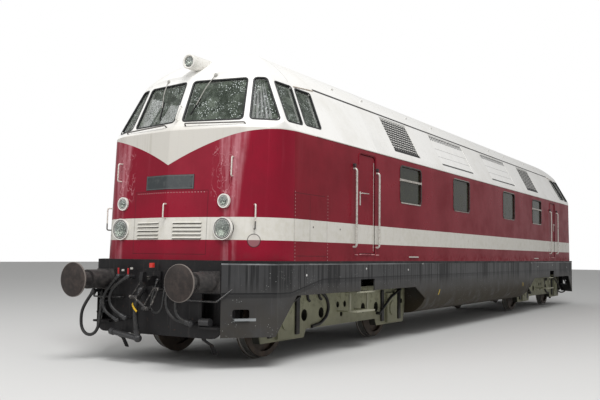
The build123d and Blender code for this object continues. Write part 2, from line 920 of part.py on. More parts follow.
with BuildPart() as underframe:
    with BuildSketch(Plane.XY.offset(deck_bottom)):
        with BuildLine():
            Polyline(*deck_outline(), close=True)
        make_face()
    extrude(amount=deck_thickness)
    for side in (1, -1):
        with Locations((0, side * sill_y, deck_bottom)):
            Box(
                2 * (deck_length - headstock_thickness), sill_width, deck_bottom - sill_bottom,
                align=(Align.CENTER, Align.CENTER, Align.MAX),
            )
    for x in cross_xs:
        with Locations((x, 0, deck_bottom), (-x, 0, deck_bottom)):
            Box(
                cross_width, 2 * (skirt_y - skirt_thickness), cross_height,
                align=(Align.CENTER, Align.CENTER, Align.MAX),
            )
    with Locations((bogie_spacing / 2, 0, deck_bottom), (-bogie_spacing / 2, 0, deck_bottom)):
        Box(
            bolster_length, 2 * bolster_half, deck_bottom - sill_bottom,
            align=(Align.CENTER, Align.CENTER, Align.MAX),
        )
    with Locations((bogie_spacing / 2, 0, pivot_bottom), (-bogie_spacing / 2, 0, pivot_bottom)):
        Cylinder(pivot_radius, deck_bottom - pivot_bottom, align=low_aligned)
underframe.part.label = "underframe"
export_step(underframe.part, "parts/underframe.step")

# Headstocks with a step pocket under each buffer
beam_depth = 170
beam_bottom = rail + 900
headstock_corner = 147
pocket_depth = 150
pocket_floor = 26
pocket_lip = 70  # of the floor ahead of the headstock
headstock_drop = 20  # below the skirts
headstock_back = deck_length - headstock_thickness
guard_y = 750
guard_width = 60
guard_thickness = 12
guard_bend = 60
guard_x = headstock_back - guard_thickness / 2
guard_route = [
    (guard_x, rail + 480), (guard_x, rail + 330), (guard_x - 172, rail + 246), (guard_x - 248, rail + 124),
]
with BuildPart() as headstock_1:
    with BuildSketch(Plane.YZ.offset(headstock_back)) as face:
        with BuildLine():
            Polyline(
                (-front_half_width, skirt_bottom - headstock_drop),
                (front_half_width, skirt_bottom - headstock_drop),
                (front_half_width, deck_bottom), (-front_half_width, deck_bottom), close=True,
            )
        make_face()
        fillet(face.vertices().group_by(Axis.Y)[0], radius=headstock_corner)
    extrude(amount=headstock_thickness)
    for side in (1, -1):
        sill_outer = sill_y + sill_width / 2
        with Locations((headstock_back, side * (sill_outer + front_half_width) / 2, deck_bottom)):
            Box(
                beam_depth, front_half_width - sill_outer, deck_bottom - beam_bottom,
                align=(Align.MAX, Align.CENTER, Align.MAX),
            )
        pocket_middle = (pocket_y + front_half_width) / 2
        with Locations((headstock_back + headstock_thickness / 2, side * pocket_middle, pocket_low)):
            Box(
                headstock_thickness, front_half_width - pocket_y, pocket_high - pocket_low,
                align=low_aligned, mode=Mode.SUBTRACT,
            )
        floor_front = headstock_back + headstock_thickness + pocket_lip
        with Locations((floor_front, side * pocket_middle, pocket_low)):
            Box(
                pocket_lip + headstock_thickness + pocket_depth, front_half_width - pocket_y, pocket_floor,
                align=(Align.MAX, Align.CENTER, Align.MAX),
            )
    for side in (1, -1):
        guard_plane = Plane(
            origin=(0, side * guard_y + guard_width / 2, 0), x_dir=(1, 0, 0), z_dir=(0, -1, 0),
        )
        with BuildSketch(guard_plane) as guard:
            with BuildLine() as guard_line:
                FilletPolyline(*guard_route, radius=guard_bend)
            trace(line_width=guard_thickness)
        extrude(guard.sketch, amount=guard_width)
both_headstocks = at_both_ends(headstock_1.part)
with BuildPart() as headstocks:
    add(both_headstocks)
headstocks.part.label = "headstocks"
export_step(headstocks.part, "parts/headstocks.step")

# Buffers
buffer_plate = 310
buffer_plate_height = 270
buffer_plate_thickness = 26
buffer_stock_radius = 126
buffer_stock_end = deck_length + 360
buffer_plunger_radius = 95
buffer_neck = deck_length + 540
buffer_head_edge = 22
buffer_head_rim = 14
with BuildPart() as buffer_1:
    with Locations((deck_length, buffer_y, buffer_z)):
        Box(
            buffer_plate_thickness, buffer_plate, buffer_plate_height,
            align=(Align.MIN, Align.CENTER, Align.CENTER),
        )
    with BuildSketch(Plane(origin=(0, buffer_y, buffer_z), x_dir=(1, 0, 0), z_dir=(0, -1, 0))):
        with BuildLine():
            Polyline(
                (deck_length, 0), (deck_length, buffer_stock_radius), (buffer_stock_end, buffer_stock_radius),
                (buffer_stock_end, buffer_plunger_radius), (buffer_neck, buffer_plunger_radius),
                (buffer_face - buffer_head_edge, buffer_head_radius - buffer_head_rim),
                (buffer_face - buffer_head_edge, buffer_head_radius),
                (buffer_face - buffer_head_rim / 2, buffer_head_radius),
                (buffer_face, buffer_head_radius - buffer_head_rim), (buffer_face, 0), close=True,
            )
        make_face()
    revolve(axis=Axis((0, buffer_y, buffer_z), (1, 0, 0)))
all_buffers = at_both_ends(both_sides(buffer_1.part))
with BuildPart() as buffers:
    add(all_buffers)
buffers.part.label = "buffers"
export_step(buffers.part, "parts/buffers.step")

# Drawhooks
hook_thickness = 55
hook_z = rail + 1050
hook_reach = 300
hook_plate = (30, 190, 230)
hook_root = 60  # half its height at the plate
hook_rounding = 12
with BuildPart() as hook_1:
    with Locations((deck_length, 0, hook_z)):
        Box(*hook_plate, align=(Align.MIN, Align.CENTER, Align.CENTER))
    with BuildSketch(Plane.XZ.offset(-hook_thickness / 2)) as profile:
        with BuildLine():
            Polyline(
                (deck_length, hook_z - hook_root), (deck_length + hook_reach - 90, hook_z - 75),
                (deck_length + hook_reach, hook_z), (deck_length + hook_reach - 20, hook_z + 110),
                (deck_length + hook_reach - 80, hook_z + 110), (deck_length + hook_reach - 90, hook_z + 30),
                (deck_length + hook_reach - 150, hook_z + 10), (deck_length + 120, hook_z + hook_root),
                (deck_length, hook_z + hook_root), close=True,
            )
        make_face()
        fillet(profile.vertices().sort_by(Axis.X)[2:], radius=hook_rounding)
    extrude(amount=hook_thickness)
both_hooks = at_both_ends(hook_1.part)
with BuildPart() as drawhooks:
    add(both_hooks)
drawhooks.part.label = "drawhooks"
export_step(drawhooks.part, "parts/drawhooks.step")

# Hoods of the air louvres, in two groups on each nose
louvre_hood = 18
louvre_pitch = 50
louvre_low = rail + 1595
hood_rows = 5
hood_spans = [(120, 545), (-545, -120)]
with BuildPart() as hoods_1:
    for near, far in hood_spans:
        for row in range(hood_rows):
            sweep_sign = 1 if near > 0 else -1
            across = Vector(-sweep_sign * nose_plane.z_dir.Y, nose_plane.z_dir.X, 0)
            outward = Vector(nose_plane.z_dir.X, sweep_sign * nose_plane.z_dir.Y, nose_plane.z_dir.Z)
            y = (near + far) / 2
            z = louvre_low + row * louvre_pitch
            x = nose_base - ((z - body_bottom) * outward.Z + y * outward.Y) / outward.X
            with Locations(Plane(origin=(x, y, z), x_dir=outward, z_dir=across * -1)):
                Cylinder(
                    louvre_hood, (far - near) / cos(radians(nose_sweep)), arc_size=90,
                    align=(Align.NONE, Align.NONE, Align.CENTER),
                )
both_hoods = at_both_ends(hoods_1.part)
with BuildPart() as nose_louvres:
    add(both_hoods)
nose_louvres.part.label = "nose_louvres"
export_step(nose_louvres.part, "parts/nose_louvres.step")


def rod(start, end, radius):
    """A round bar from one point to another."""
    axis = Vector(*end) - Vector(*start)
    with BuildPart() as bar:
        with Locations(Plane(origin=start, z_dir=axis)):
            Cylinder(radius, axis.length, align=low_aligned)
    return bar.part


def ball(centre, radius):
    """A round casting about a point."""
    with BuildPart() as casting:
        with Locations(centre):
            Sphere(radius)
    return casting.part


def bend_radii(points):
    """The radius that each bend of a route has room for."""
    radii = []
    for before, corner, after in zip(points, points[1:], points[2:]):
        first = Vector(*corner) - Vector(*before)
        second = Vector(*after) - Vector(*corner)
        half_turn = radians(first.get_angle(second) / 2)
        radii.append(0.45 * min(first.length, second.length) / tan(half_turn))
    return radii


def tube(points, radii, radius):
    """A round tube or hose along straight runs joined by arcs."""
    with BuildPart() as pipe:
        with BuildLine() as path:
            FilletPolyline(*points, radius=radii)
        with BuildSketch(Plane(origin=path.line @ 0, z_dir=path.line % 0)):
            Circle(radius)
        sweep()
    length = sum(edge.length for edge in path.edges())
    share = pipe.part.volume / (pi * radius**2 * length)
    print("tube of", len(points), "points,", round(length), "mm, volume over section times length", share)
    return pipe.part


def turned_to_both_ends(part):
    """A part of the leading end together with its copy turned to the other end."""
    with BuildPart() as pair:
        add(part)
        add(part.rotate(Axis.Z, 180))
    return pair.part


# Hoses of the leading end: the route's points, with heights above the rail head
brake_hose_radius = 21
brake_routes = [
    [
        (9235, -600, 1050), (9250, -655, 985), (9265, -735, 895), (9270, -785, 790), (9270, -778, 680),
        (9262, -715, 600), (9240, -630, 555),
    ],
    [
        (9235, -440, 1060), (9255, -520, 1010), (9270, -610, 930), (9275, -665, 825), (9275, -650, 720),
        (9265, -575, 640), (9245, -490, 590),
    ],
    [
        (9235, 432, 1050), (9245, 370, 985), (9255, 300, 900), (9260, 285, 790), (9260, 310, 690),
        (9245, 380, 600), (9220, 470, 555), (9204, 560, 538),
    ],
    [
        (9235, 605, 1045), (9250, 550, 975), (9262, 485, 890), (9268, 450, 790), (9268, 452, 700),
        (9264, 480, 630), (9258, 540, 580), (9256, 612, 563),
    ],
    [
        (9251, -1018, 846), (9262, -1066, 780), (9272, -1113, 708), (9280, -1150, 632), (9285, -1163, 560),
        (9285, -1165, 488), (9284, -1158, 415), (9283, -1119, 345), (9281, -1050, 305), (9278, -970, 305),
        (9274, -901, 345), (9268, -862, 415), (9262, -854, 500), (9252, -849, 590), (9238, -845, 675),
    ],
]
jumper_radius = 13
jumper_routes = [
    [
        (9185, 52, 1000), (9215, 50, 935), (9240, 46, 850), (9256, 42, 770), (9264, 44, 700), (9268, 96, 646),
        (9268, 170, 646), (9264, 226, 700), (9252, 230, 790), (9232, 224, 880), (9202, 216, 950),
    ],
]
heating_radius = 33
heating_routes = [
    [
        (9205, -205, 865), (9240, -210, 790), (9262, -213, 705), (9275, -205, 600), (9275, -190, 500),
        (9268, -178, 410),
    ],
]
hose_kinds = [
    ("brake_hoses", brake_hose_radius, brake_routes),
    ("jumper_hoses", jumper_radius, jumper_routes),
    ("heating_hoses", heating_radius, heating_routes),
]


def raised(route):
    """A route with its heights counted from the lowest point of the wheels."""
    return [(x, y, rail + height) for x, y, height in route]


for label, radius, routes in hose_kinds:
    with BuildPart() as end_hoses:
        for route in routes:
            radii = bend_radii(raised(route))
            print(label, "radii in diameters", [round(r / radius / 2, 1) for r in radii])
            add(tube(raised(route), radii, radius))
    both_ends_hoses = turned_to_both_ends(end_hoses.part)
    with BuildPart() as hoses:
        add(both_ends_hoses)
    hoses.part.label = label
    export_step(hoses.part, f"parts/{label}.step")

# Cocks, ferrules and coupling heads that hold the hoses
ferrule_length = 55
ferrule_wall = 6
pipe_radius = 22
head_reach = 80
head_radius = 36
head_rod = 12
heating_reach = 105
heating_head = 52
sleeve_end = (9250, -650, rail + 372)
sleeve_radius = 36
sleeve_cap = 44
sleeve_cap_length = 60
sleeve_hanger = (-600, rail + 365)
lying_head = (9150, 835, rail + 552.3)  # a head put down in the pocket of the step
lying_head_radius = 52
lying_head_length = 150


def behind(point, toward, distance):
    """The point at a distance from one point, on the far side from another."""
    away = (Vector(*point) - Vector(*toward)).normalized()
    return tuple(Vector(*point) + away * distance)


def to_headstock(point, radius):
    """A round bar from the headstock's face out to a point."""
    return rod((deck_length, point[1], point[2]), point, radius)


with BuildPart() as fittings_1:
    for label, radius, routes in hose_kinds:
        for route in routes:
            points = raised(route)
            cock = behind(points[0], points[1], ferrule_length)
            add(rod(cock, points[0], radius + ferrule_wall))
            add(ball(cock, radius + 2 * ferrule_wall))
            add(to_headstock(cock, min(pipe_radius, radius + ferrule_wall)))
            if label == "heating_hoses":
                head = behind(points[-1], points[-2], heating_reach)
                add(rod(points[-1], head, radius + ferrule_wall))
                add(ball(head, heating_head))
                add(rod(head, sleeve_end, sleeve_radius))
                add(rod(behind(sleeve_end, head, -sleeve_cap_length), sleeve_end, sleeve_cap))
                hanger_y, hanger_z = sleeve_hanger
                add(to_headstock((sleeve_end[0], hanger_y, hanger_z), head_rod))
            elif label == "brake_hoses":
                head = behind(points[-1], points[-2], head_reach)
                add(rod(points[-1], head, radius + ferrule_wall))
                add(ball(head, head_radius))
                add(to_headstock(head, head_rod))
            else:
                cock = behind(points[-1], points[-2], ferrule_length)
                add(rod(cock, points[-1], radius + ferrule_wall))
                add(ball(cock, radius + 2 * ferrule_wall))
                add(to_headstock(cock, radius))
    with Locations(Plane(origin=lying_head, z_dir=(0, 1, 0))):
        Cylinder(lying_head_radius, lying_head_length)
    add(hook_1.part, mode=Mode.SUBTRACT)
all_fittings = turned_to_both_ends(fittings_1.part)
with BuildPart() as hose_fittings:
    add(all_fittings)
hose_fittings.part.label = "hose_fittings"
export_step(hose_fittings.part, "parts/hose_fittings.step")

# Handles of the cocks
handle_size = (10, 22, 90)
handle_count = 4
with BuildPart() as handles_1:
    for route in brake_routes[:handle_count]:
        x, y, z = behind(raised(route)[0], raised(route)[1], ferrule_length)
        with Locations((x, y, z + brake_hose_radius)):
            Box(*handle_size, align=low_aligned)
    add(fittings_1.part, mode=Mode.SUBTRACT)
both_handles = turned_to_both_ends(handles_1.part)
with BuildPart() as cock_handles:
    add(both_handles)
cock_handles.part.label = "cock_handles"
export_step(cock_handles.part, "parts/cock_handles.step")

# Screw couplings, hung up beside the hook
link_x = 9345  # of the hanging links, clear of the hook's plate
link_pin_z = rail + 1094
link_pin_radius = 13
link_pin_half = 50  # of its length, to the links' middles
link_pin_back = 115  # from the hook's tip
link_rod = 11
trunnion_z = rail + 838
trunnion_ys = (-215, -115)
trunnion_span = (-235, -95)
trunnion_radius = 24
spindle_radius = 16
spindle_end = (9350, 42, rail + 700)
lower_nut = 60  # half the length of the lower nut
shackle_top = rail + 960
shackle_ys = (150, 225)
peg = (9345, 187, rail + 936)
peg_radius = 14
link_pin_x = deck_length + hook_reach - link_pin_back
with BuildPart() as coupling_1:
    for y, trunnion_y in zip((-link_pin_half, link_pin_half), trunnion_ys):
        add(rod((link_pin_x, y, link_pin_z), (link_x, trunnion_y, trunnion_z), link_rod))
    add(rod(
        (link_pin_x, -link_pin_half - link_rod, link_pin_z),
        (link_pin_x, link_pin_half + link_rod, link_pin_z), link_pin_radius,
    ))
    trunnion_ends = [(link_x, trunnion_y, trunnion_z) for trunnion_y in trunnion_span]
    add(rod(*trunnion_ends, trunnion_radius))
    add(rod((link_x, sum(trunnion_ys) / 2, trunnion_z), spindle_end, spindle_radius))
    nut_start = (spindle_end[0], spindle_end[1] - lower_nut, spindle_end[2])
    nut_end = (spindle_end[0], spindle_end[1] + lower_nut, spindle_end[2])
    add(rod(nut_start, nut_end, trunnion_radius))
    for y, start in zip(shackle_ys, (nut_start, nut_end)):
        add(rod(start, (peg[0] - peg_radius, y, shackle_top), link_rod))
    add(rod(
        (peg[0] - peg_radius, shackle_ys[0] - link_rod, shackle_top),
        (peg[0] - peg_radius, shackle_ys[1] + link_rod, shackle_top), link_rod,
    ))
    add(to_headstock(peg, peg_radius))
    add(hook_1.part, mode=Mode.SUBTRACT)
both_couplings = turned_to_both_ends(coupling_1.part)
with BuildPart() as couplings:
    add(both_couplings)
couplings.part.label = "couplings"
export_step(couplings.part, "parts/couplings.step")

# Side skirts, open over the bogies
notch_near = 5720
notch_far = 6200
notch_top = rail + 1040
front_cut_low = rail + 395
rear_cut_low = rail + 640
with BuildPart() as skirt_left:
    half = [
        (0, deck_bottom), (taper_start, deck_bottom), (taper_start, front_cut_low),
        (front_cut_x, skirt_over_bogie), (rear_cut_x, skirt_over_bogie), (belly_x, rear_cut_low),
        (belly_x, sill_bottom), (0, sill_bottom),
    ]
    with BuildSketch(side_plane.offset(-skirt_y)):
        with BuildLine():
            Polyline(*half, *[(-x, z) for x, z in half[-2:0:-1]], close=True)
        make_face()
        for centre in (1, -1):
            with Locations((centre * (notch_near + notch_far) / 2, skirt_over_bogie)):
                Rectangle(
                    notch_far - notch_near, notch_top - skirt_over_bogie,
                    align=(Align.CENTER, Align.MIN), mode=Mode.SUBTRACT,
                )
    extrude(amount=skirt_thickness)
both_skirts = both_sides(skirt_left.part)
with BuildPart() as side_skirts:
    add(both_skirts)
side_skirts.part.label = "side_skirts"
export_step(side_skirts.part, "parts/side_skirts.step")

# Tapered skirts at the corners, each with a step hole
taper = Vector(taper_start - deck_length, skirt_y - front_half_width, 0)
taper_out = Vector(taper.Y, -taper.X, 0).normalized()
taper_plane = Plane(origin=(deck_length, front_half_width, 0), x_dir=taper, z_dir=taper_out)
inner_line_y = skirt_thickness / taper_out.Y
inner_line_x = skirt_thickness / taper_out.X
step_hole = (150, 370, rail + 600, rail + 715)  # along the taper, then low and high
step_bar_depth = 120
step_bar_thickness = 22
step_hole_corner = 30
with BuildPart() as corner_1:
    with BuildSketch(Plane.XY.offset(skirt_bottom)):
        with BuildLine():
            Polyline(
                (deck_length, front_half_width), (taper_start, skirt_y),
                (taper_start, skirt_y - inner_line_y),
                (deck_length - inner_line_x, front_half_width), close=True,
            )
        make_face()
    extrude(amount=deck_bottom - skirt_bottom)
    with BuildSketch(taper_plane.offset(wall)):
        with Locations(((step_hole[0] + step_hole[1]) / 2, (step_hole[2] + step_hole[3]) / 2)):
            RectangleRounded(
                step_hole[1] - step_hole[0], step_hole[3] - step_hole[2], step_hole_corner,
            )
    extrude(amount=-3 * wall, mode=Mode.SUBTRACT)
    with BuildSketch(taper_plane.offset(-step_bar_depth)):
        with Locations(((step_hole[0] + step_hole[1]) / 2, step_hole[2])):
            Rectangle(step_hole[1] - step_hole[0], step_bar_thickness, align=(Align.CENTER, Align.MAX))
    extrude(amount=step_bar_depth + step_bar_thickness)
all_corners = at_both_ends(both_sides(corner_1.part))
with BuildPart() as corner_skirts:
    add(all_corners)
corner_skirts.part.label = "corner_skirts"
export_step(corner_skirts.part, "parts/corner_skirts.step")

# Grips on the nose, rails under the windscreens and bars for the shunter
grip_sink = 30
grip_radius = 10
grip_bend = 22
shunter_radius = 11
shunter_bend = 40
# Each grip: its two ends on the skin, with heights above the rail head, the way out and the reach
grips = [
    ((8799, 165, 3102), (8622, 1019, 3085), (0.74, 0.11, 0.67), 42),
    ((8808, 960, 2396), (8798, 960, 2642), (1, 0.3, 0), 55),
    ((8705, 1240, 1720), (8700, 1240, 2030), (0.7, 0.7, 0), 50),
]
centre_grip = ((8975, 0, 1860), (8966, 0, 2050), (1, 0, 0), 50)
shunter_route = [(9100, 560, 815), (9200, 560, 815), (9200, 1033, 812), (8985, 1133, 972)]


def grip(start, end, out, reach):
    """A bent tube that stands off the skin between two roots sunk in it."""
    way = Vector(*out).normalized()
    roots = [Vector(*point) - way * grip_sink for point in (start, end)]
    tops = [Vector(*point) + way * reach for point in (start, end)]
    path = [roots[0], tops[0], tops[1], roots[1]]
    return tube(raised([tuple(point) for point in path]), grip_bend, grip_radius)


with BuildPart() as left_grips:
    for row in grips:
        add(grip(*row))
    add(tube(raised(shunter_route), shunter_bend, shunter_radius))
side_grips = both_sides(left_grips.part)
with BuildPart() as grips_1:
    add(side_grips)
    add(grip(*centre_grip))
    add(cab_1.part, mode=Mode.SUBTRACT)
    add(headstock_1.part, mode=Mode.SUBTRACT)
    add(both_sides(corner_1.part), mode=Mode.SUBTRACT)
both_grips = at_both_ends(grips_1.part)
with BuildPart() as end_handrails:
    add(both_grips)
end_handrails.part.label = "end_handrails"
export_step(end_handrails.part, "parts/end_handrails.step")

# Belly between the bogies, with the tanks
with BuildPart() as belly:
    with BuildSketch(Plane.YZ.offset(-belly_x)) as section:
        with BuildLine():
            Polyline(
                (-skirt_y, sill_bottom), (-skirt_y, skirt_bottom), (skirt_y, skirt_bottom),
                (skirt_y, sill_bottom), close=True,
            )
        make_face()
        fillet(section.vertices().group_by(Axis.Y)[0], radius=belly_round)
    extrude(amount=2 * belly_x)
belly.part.label = "belly"
export_step(belly.part, "parts/belly.step")

# Bogie frames
axle_z = rail + wheel_diameter / 2
axle_offset = wheelbase / 2
side_frame_outer = side_frame_y + side_frame_thickness
frame_end_z = rail + 560
frame_shoulder_z = rail + 400
keeper_end = axle_offset + keeper_half_length
keeper_start = axle_offset - keeper_half_length
frame_holes = [
    (62, 505, 45), (178, 648, 50), (-54, 648, 50), (695, 554, 80), (-695, 554, 80),
    (1185, 546, 85), (-1185, 546, 85), (2240, 600, 45), (-2240, 600, 45),
]
with BuildPart() as bogie_form:
    outline = [
        (0, side_frame_top), (side_frame_half_length, side_frame_top), (side_frame_half_length, frame_end_z),
        (keeper_end + keeper_ramp, frame_shoulder_z), (keeper_end, keeper_z), (keeper_start, keeper_z),
        (keeper_start - keeper_ramp, side_frame_bottom), (0, side_frame_bottom),
    ]
    with BuildSketch(side_plane.offset(-side_frame_outer)):
        with BuildLine():
            Polyline(*outline, *[(-x, z) for x, z in outline[-2:0:-1]], close=True)
        make_face()
        with Locations((axle_offset, horn_top), (-axle_offset, horn_top)):
            Rectangle(
                horn_gap, horn_top - keeper_z - keeper_thickness,
                align=(Align.CENTER, Align.MAX), mode=Mode.SUBTRACT,
            )
        for x, z, radius in frame_holes:
            with Locations((x, rail + z)):
                Circle(radius, mode=Mode.SUBTRACT)
    extrude(amount=side_frame_thickness)
    mirror(about=Plane.XZ)
    for x in (transom_offset, -transom_offset):
        with Locations((x, 0, transom_bottom)):
            Box(transom_width, 2 * side_frame_y, side_frame_top - transom_bottom - wall, align=low_aligned)
    for x in (side_frame_half_length - end_beam / 2, end_beam / 2 - side_frame_half_length):
        with Locations((x, 0, side_frame_top)):
            Box(end_beam, 2 * side_frame_y, end_beam_height, align=(Align.CENTER, Align.CENTER, Align.MAX))
    with Locations((0, 0, transom_bottom)):
        Box(2 * transom_offset, 3 * bolster_bore, side_frame_top - transom_bottom - wall, align=low_aligned)
        Cylinder(bolster_bore, side_frame_top, align=low_aligned, mode=Mode.SUBTRACT)
    for side in (1, -1):
        with Locations((0, side * (side_frame_y + side_frame_thickness / 2), side_frame_top)):
            pad_height = sill_bottom - side_frame_top - running_clearance
            Cylinder(side_frame_thickness / 2, pad_height, align=low_aligned)
        for tread in step_treads:
            with Locations((step_centre, side * step_outer_y, tread)):
                Box(
                    2 * step_half_width, step_depth, step_thickness,
                    align=(Align.CENTER, Align.MAX if side > 0 else Align.MIN, Align.MIN),
                )
        for post in (step_half_width - step_post / 2, step_post / 2 - step_half_width):
            x = step_centre + post
            with Locations((x, side * (step_outer_y - step_depth), step_treads[0])):
                Box(
                    step_post, step_post, step_treads[1] - step_treads[0] + step_thickness,
                    align=(Align.CENTER, Align.MIN if side > 0 else Align.MAX, Align.MIN),
                )
            for tread in step_treads:
                with Locations((x, side * side_frame_outer, tread)):
                    Box(
                        step_post, step_outer_y - step_depth - side_frame_outer + step_post, step_thickness,
                        align=(Align.CENTER, Align.MIN if side > 0 else Align.MAX, Align.MIN),
                    )

bogie_xs = (bogie_spacing / 2, -bogie_spacing / 2)
with BuildPart() as bogie_frame_1:
    add(bogie_form.part.moved(Location((bogie_spacing / 2, 0, 0))))
bogie_frame_1.part.label = "bogie_frame_1"
export_step(bogie_frame_1.part, "parts/bogie_frame_1.step")

with BuildPart() as bogie_frame_2:
    mirror(bogie_frame_1.part, about=Plane.YZ)
bogie_frame_2.part.label = "bogie_frame_2"
export_step(bogie_frame_2.part, "parts/bogie_frame_2.step")

# Axleboxes, held between the horns
cover_radius = 120
cover_proud = 18
box_inner_y = 930
box_bottom = keeper_z + keeper_thickness
with BuildPart() as box_form:
    for x in (axle_offset, -axle_offset):
        with Locations((x, box_inner_y, box_bottom)):
            Box(
                horn_gap, axlebox_outer_y - box_inner_y, horn_top - box_bottom,
                align=(Align.CENTER, Align.MIN, Align.MIN),
            )
        with Locations(Plane(origin=(x, axlebox_outer_y, axle_z), z_dir=(0, 1, 0))):
            Cylinder(cover_radius, cover_proud, align=low_aligned)
        with Locations(Plane(origin=(x, box_inner_y, axle_z), z_dir=(0, 1, 0))):
            Cylinder(
                journal_radius + running_clearance, axle_length / 2 + running_clearance - box_inner_y,
                align=low_aligned, mode=Mode.SUBTRACT,
            )
all_boxes = both_sides(box_form.part)
for number, bogie_x in enumerate(bogie_xs, 1):
    with BuildPart() as axleboxes:
        add(all_boxes.moved(Location((bogie_x, 0, 0))))
    axleboxes.part.label = f"axleboxes_{number}"
    export_step(axleboxes.part, f"parts/axleboxes_{number}.step")

# Spring guides, brake rods and pipes on the outside of the bogie frames
guide_offset = 350  # from the axle
guide_width = 50
guide_depth = 26
guide_low = rail + 300
guide_high = rail + 820
gear_radius = 13
gear_stand = 62  # from the frame to the rods' middle
gear_bend = 60
# Routes of the rods along the frame: x from the bogie's pivot, and height above the rail head
rod_routes = [
    [(2290, 460), (1850, 668), (1430, 825)],
    [(-1200, 440), (-1650, 690), (-2050, 815)],
]
pipe_stand = 14
pipe_route = [(710, 850), (560, 770), (490, 630), (560, 490), (745, 400), (1000, 372)]
with BuildPart() as left_gear:
    for axle in (axle_offset, -axle_offset):
        for x in (axle + guide_offset, axle - guide_offset):
            with Locations((x, side_frame_outer, guide_low)):
                Box(
                    guide_width, guide_depth, guide_high - guide_low,
                    align=(Align.CENTER, Align.MIN, Align.MIN),
                )
    for route in rod_routes:
        points = [(x, side_frame_outer + gear_stand, height) for x, height in route]
        add(tube(raised(points), gear_bend, gear_radius))
        for x, y, z in (raised(points)[0], raised(points)[-1]):
            add(rod((x, side_frame_outer, z), (x, y + gear_radius, z), 2 * gear_radius))
    points = [(x, side_frame_outer + pipe_stand, height) for x, height in pipe_route]
    add(tube(raised(points), gear_bend, pipe_stand))
left_gear_pair = both_sides(left_gear.part)
for number, bogie_x in enumerate(bogie_xs, 1):
    ahead = left_gear_pair if bogie_x > 0 else mirror(left_gear_pair, about=Plane.YZ)
    with BuildPart() as gear:
        add(ahead.moved(Location((bogie_x, 0, 0))))
    gear.part.label = f"bogie_gear_{number}"
    export_step(gear.part, f"parts/bogie_gear_{number}.step")

# Brake blocks on cross tubes
block_gap = 8
block_thickness = 55
block_width = 85
block_half_angle = 20
hanger_width = 50
tube_radius = 38
brake_y = gauge_back_to_back / 2 + flange_width + block_width / 2
tube_offset = wheel_diameter / 2 + block_gap + block_thickness / 2
tube_z = side_frame_top - 2 * tube_radius
with BuildPart() as brake_form:
    for axle in (axle_offset, -axle_offset):
        for side in (1, -1):
            x = axle + side * tube_offset
            with Locations(Plane(origin=(x, -side_frame_y, tube_z), z_dir=(0, 1, 0))):
                Cylinder(tube_radius, 2 * side_frame_y, align=low_aligned)
            for y in (brake_y, -brake_y):
                with Locations((x, y, axle_z)):
                    Box(block_thickness, block_width, wheel_diameter * sin(radians(block_half_angle)))
                with Locations((x, y, axle_z)):
                    Box(hanger_width, hanger_width, tube_z - axle_z, align=low_aligned)
    with Locations(
        Plane(origin=(axle_offset, -side_frame_y, axle_z), z_dir=(0, 1, 0)),
        Plane(origin=(-axle_offset, -side_frame_y, axle_z), z_dir=(0, 1, 0)),
    ):
        Cylinder(wheel_diameter / 2 + block_gap, 2 * side_frame_y, align=low_aligned, mode=Mode.SUBTRACT)
for number, bogie_x in enumerate(bogie_xs, 1):
    with BuildPart() as brakes:
        add(brake_form.part.moved(Location((bogie_x, 0, 0))))
    brakes.part.label = f"brakes_{number}"
    export_step(brakes.part, f"parts/brakes_{number}.step")

# Wheelsets
back = gauge_back_to_back / 2
tread_radius = wheel_diameter / 2
rim_radius = tread_radius - tyre_thickness
web_y = back + wheel_width / 2
hub_start = web_y - hub_width / 2
hub_end = hub_start + hub_width
web_outer = web_y + web_thickness / 2
web_inner = web_y - web_thickness / 2
flange_tip = 14  # thickness of the flange at its edge
tip_start = back + 8
with BuildPart() as wheel_form:
    with BuildSketch(Plane.YZ):
        with BuildLine():
            Polyline(
                (hub_start, axle_radius), (hub_end, axle_radius), (hub_end, hub_radius),
                (web_outer, hub_radius + web_thickness), (web_outer, rim_radius),
                (back + wheel_width, rim_radius), (back + wheel_width, tread_radius),
                (back + flange_width, tread_radius), (tip_start + flange_tip, tread_radius + flange_depth),
                (tip_start, tread_radius + flange_depth), (back, tread_radius), (back, rim_radius),
                (web_inner, rim_radius), (web_inner, hub_radius + web_thickness), (hub_start, hub_radius),
                close=True,
            )
        make_face()
    revolve(axis=Axis.Y)
    mirror(about=Plane.XZ)
with BuildPart() as axle_form:
    with Locations(Plane(origin=(0, 0, 0), z_dir=(0, 1, 0))):
        Cylinder(axle_radius, 2 * (hub_start + hub_width))
        Cylinder(journal_radius, axle_length)

axle_xs = [bogie + side * axle_offset for bogie in bogie_xs for side in (1, -1)]
for number, axle_x in enumerate(axle_xs, 1):
    seat = Location((axle_x, 0, axle_z))
    with BuildPart() as wheels:
        add(wheel_form.part.moved(seat))
    wheels.part.label = f"wheels_{number}"
    export_step(wheels.part, f"parts/wheels_{number}.step")
    with BuildPart() as axle:
        add(axle_form.part.moved(seat))
    axle.part.label = f"axle_{number}"
    export_step(axle.part, f"parts/axle_{number}.step")
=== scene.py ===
"""Diesel locomotive: the looks of every piece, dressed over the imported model."""

import bmesh
import bpy
import numpy as np
from mathutils import Matrix, Vector


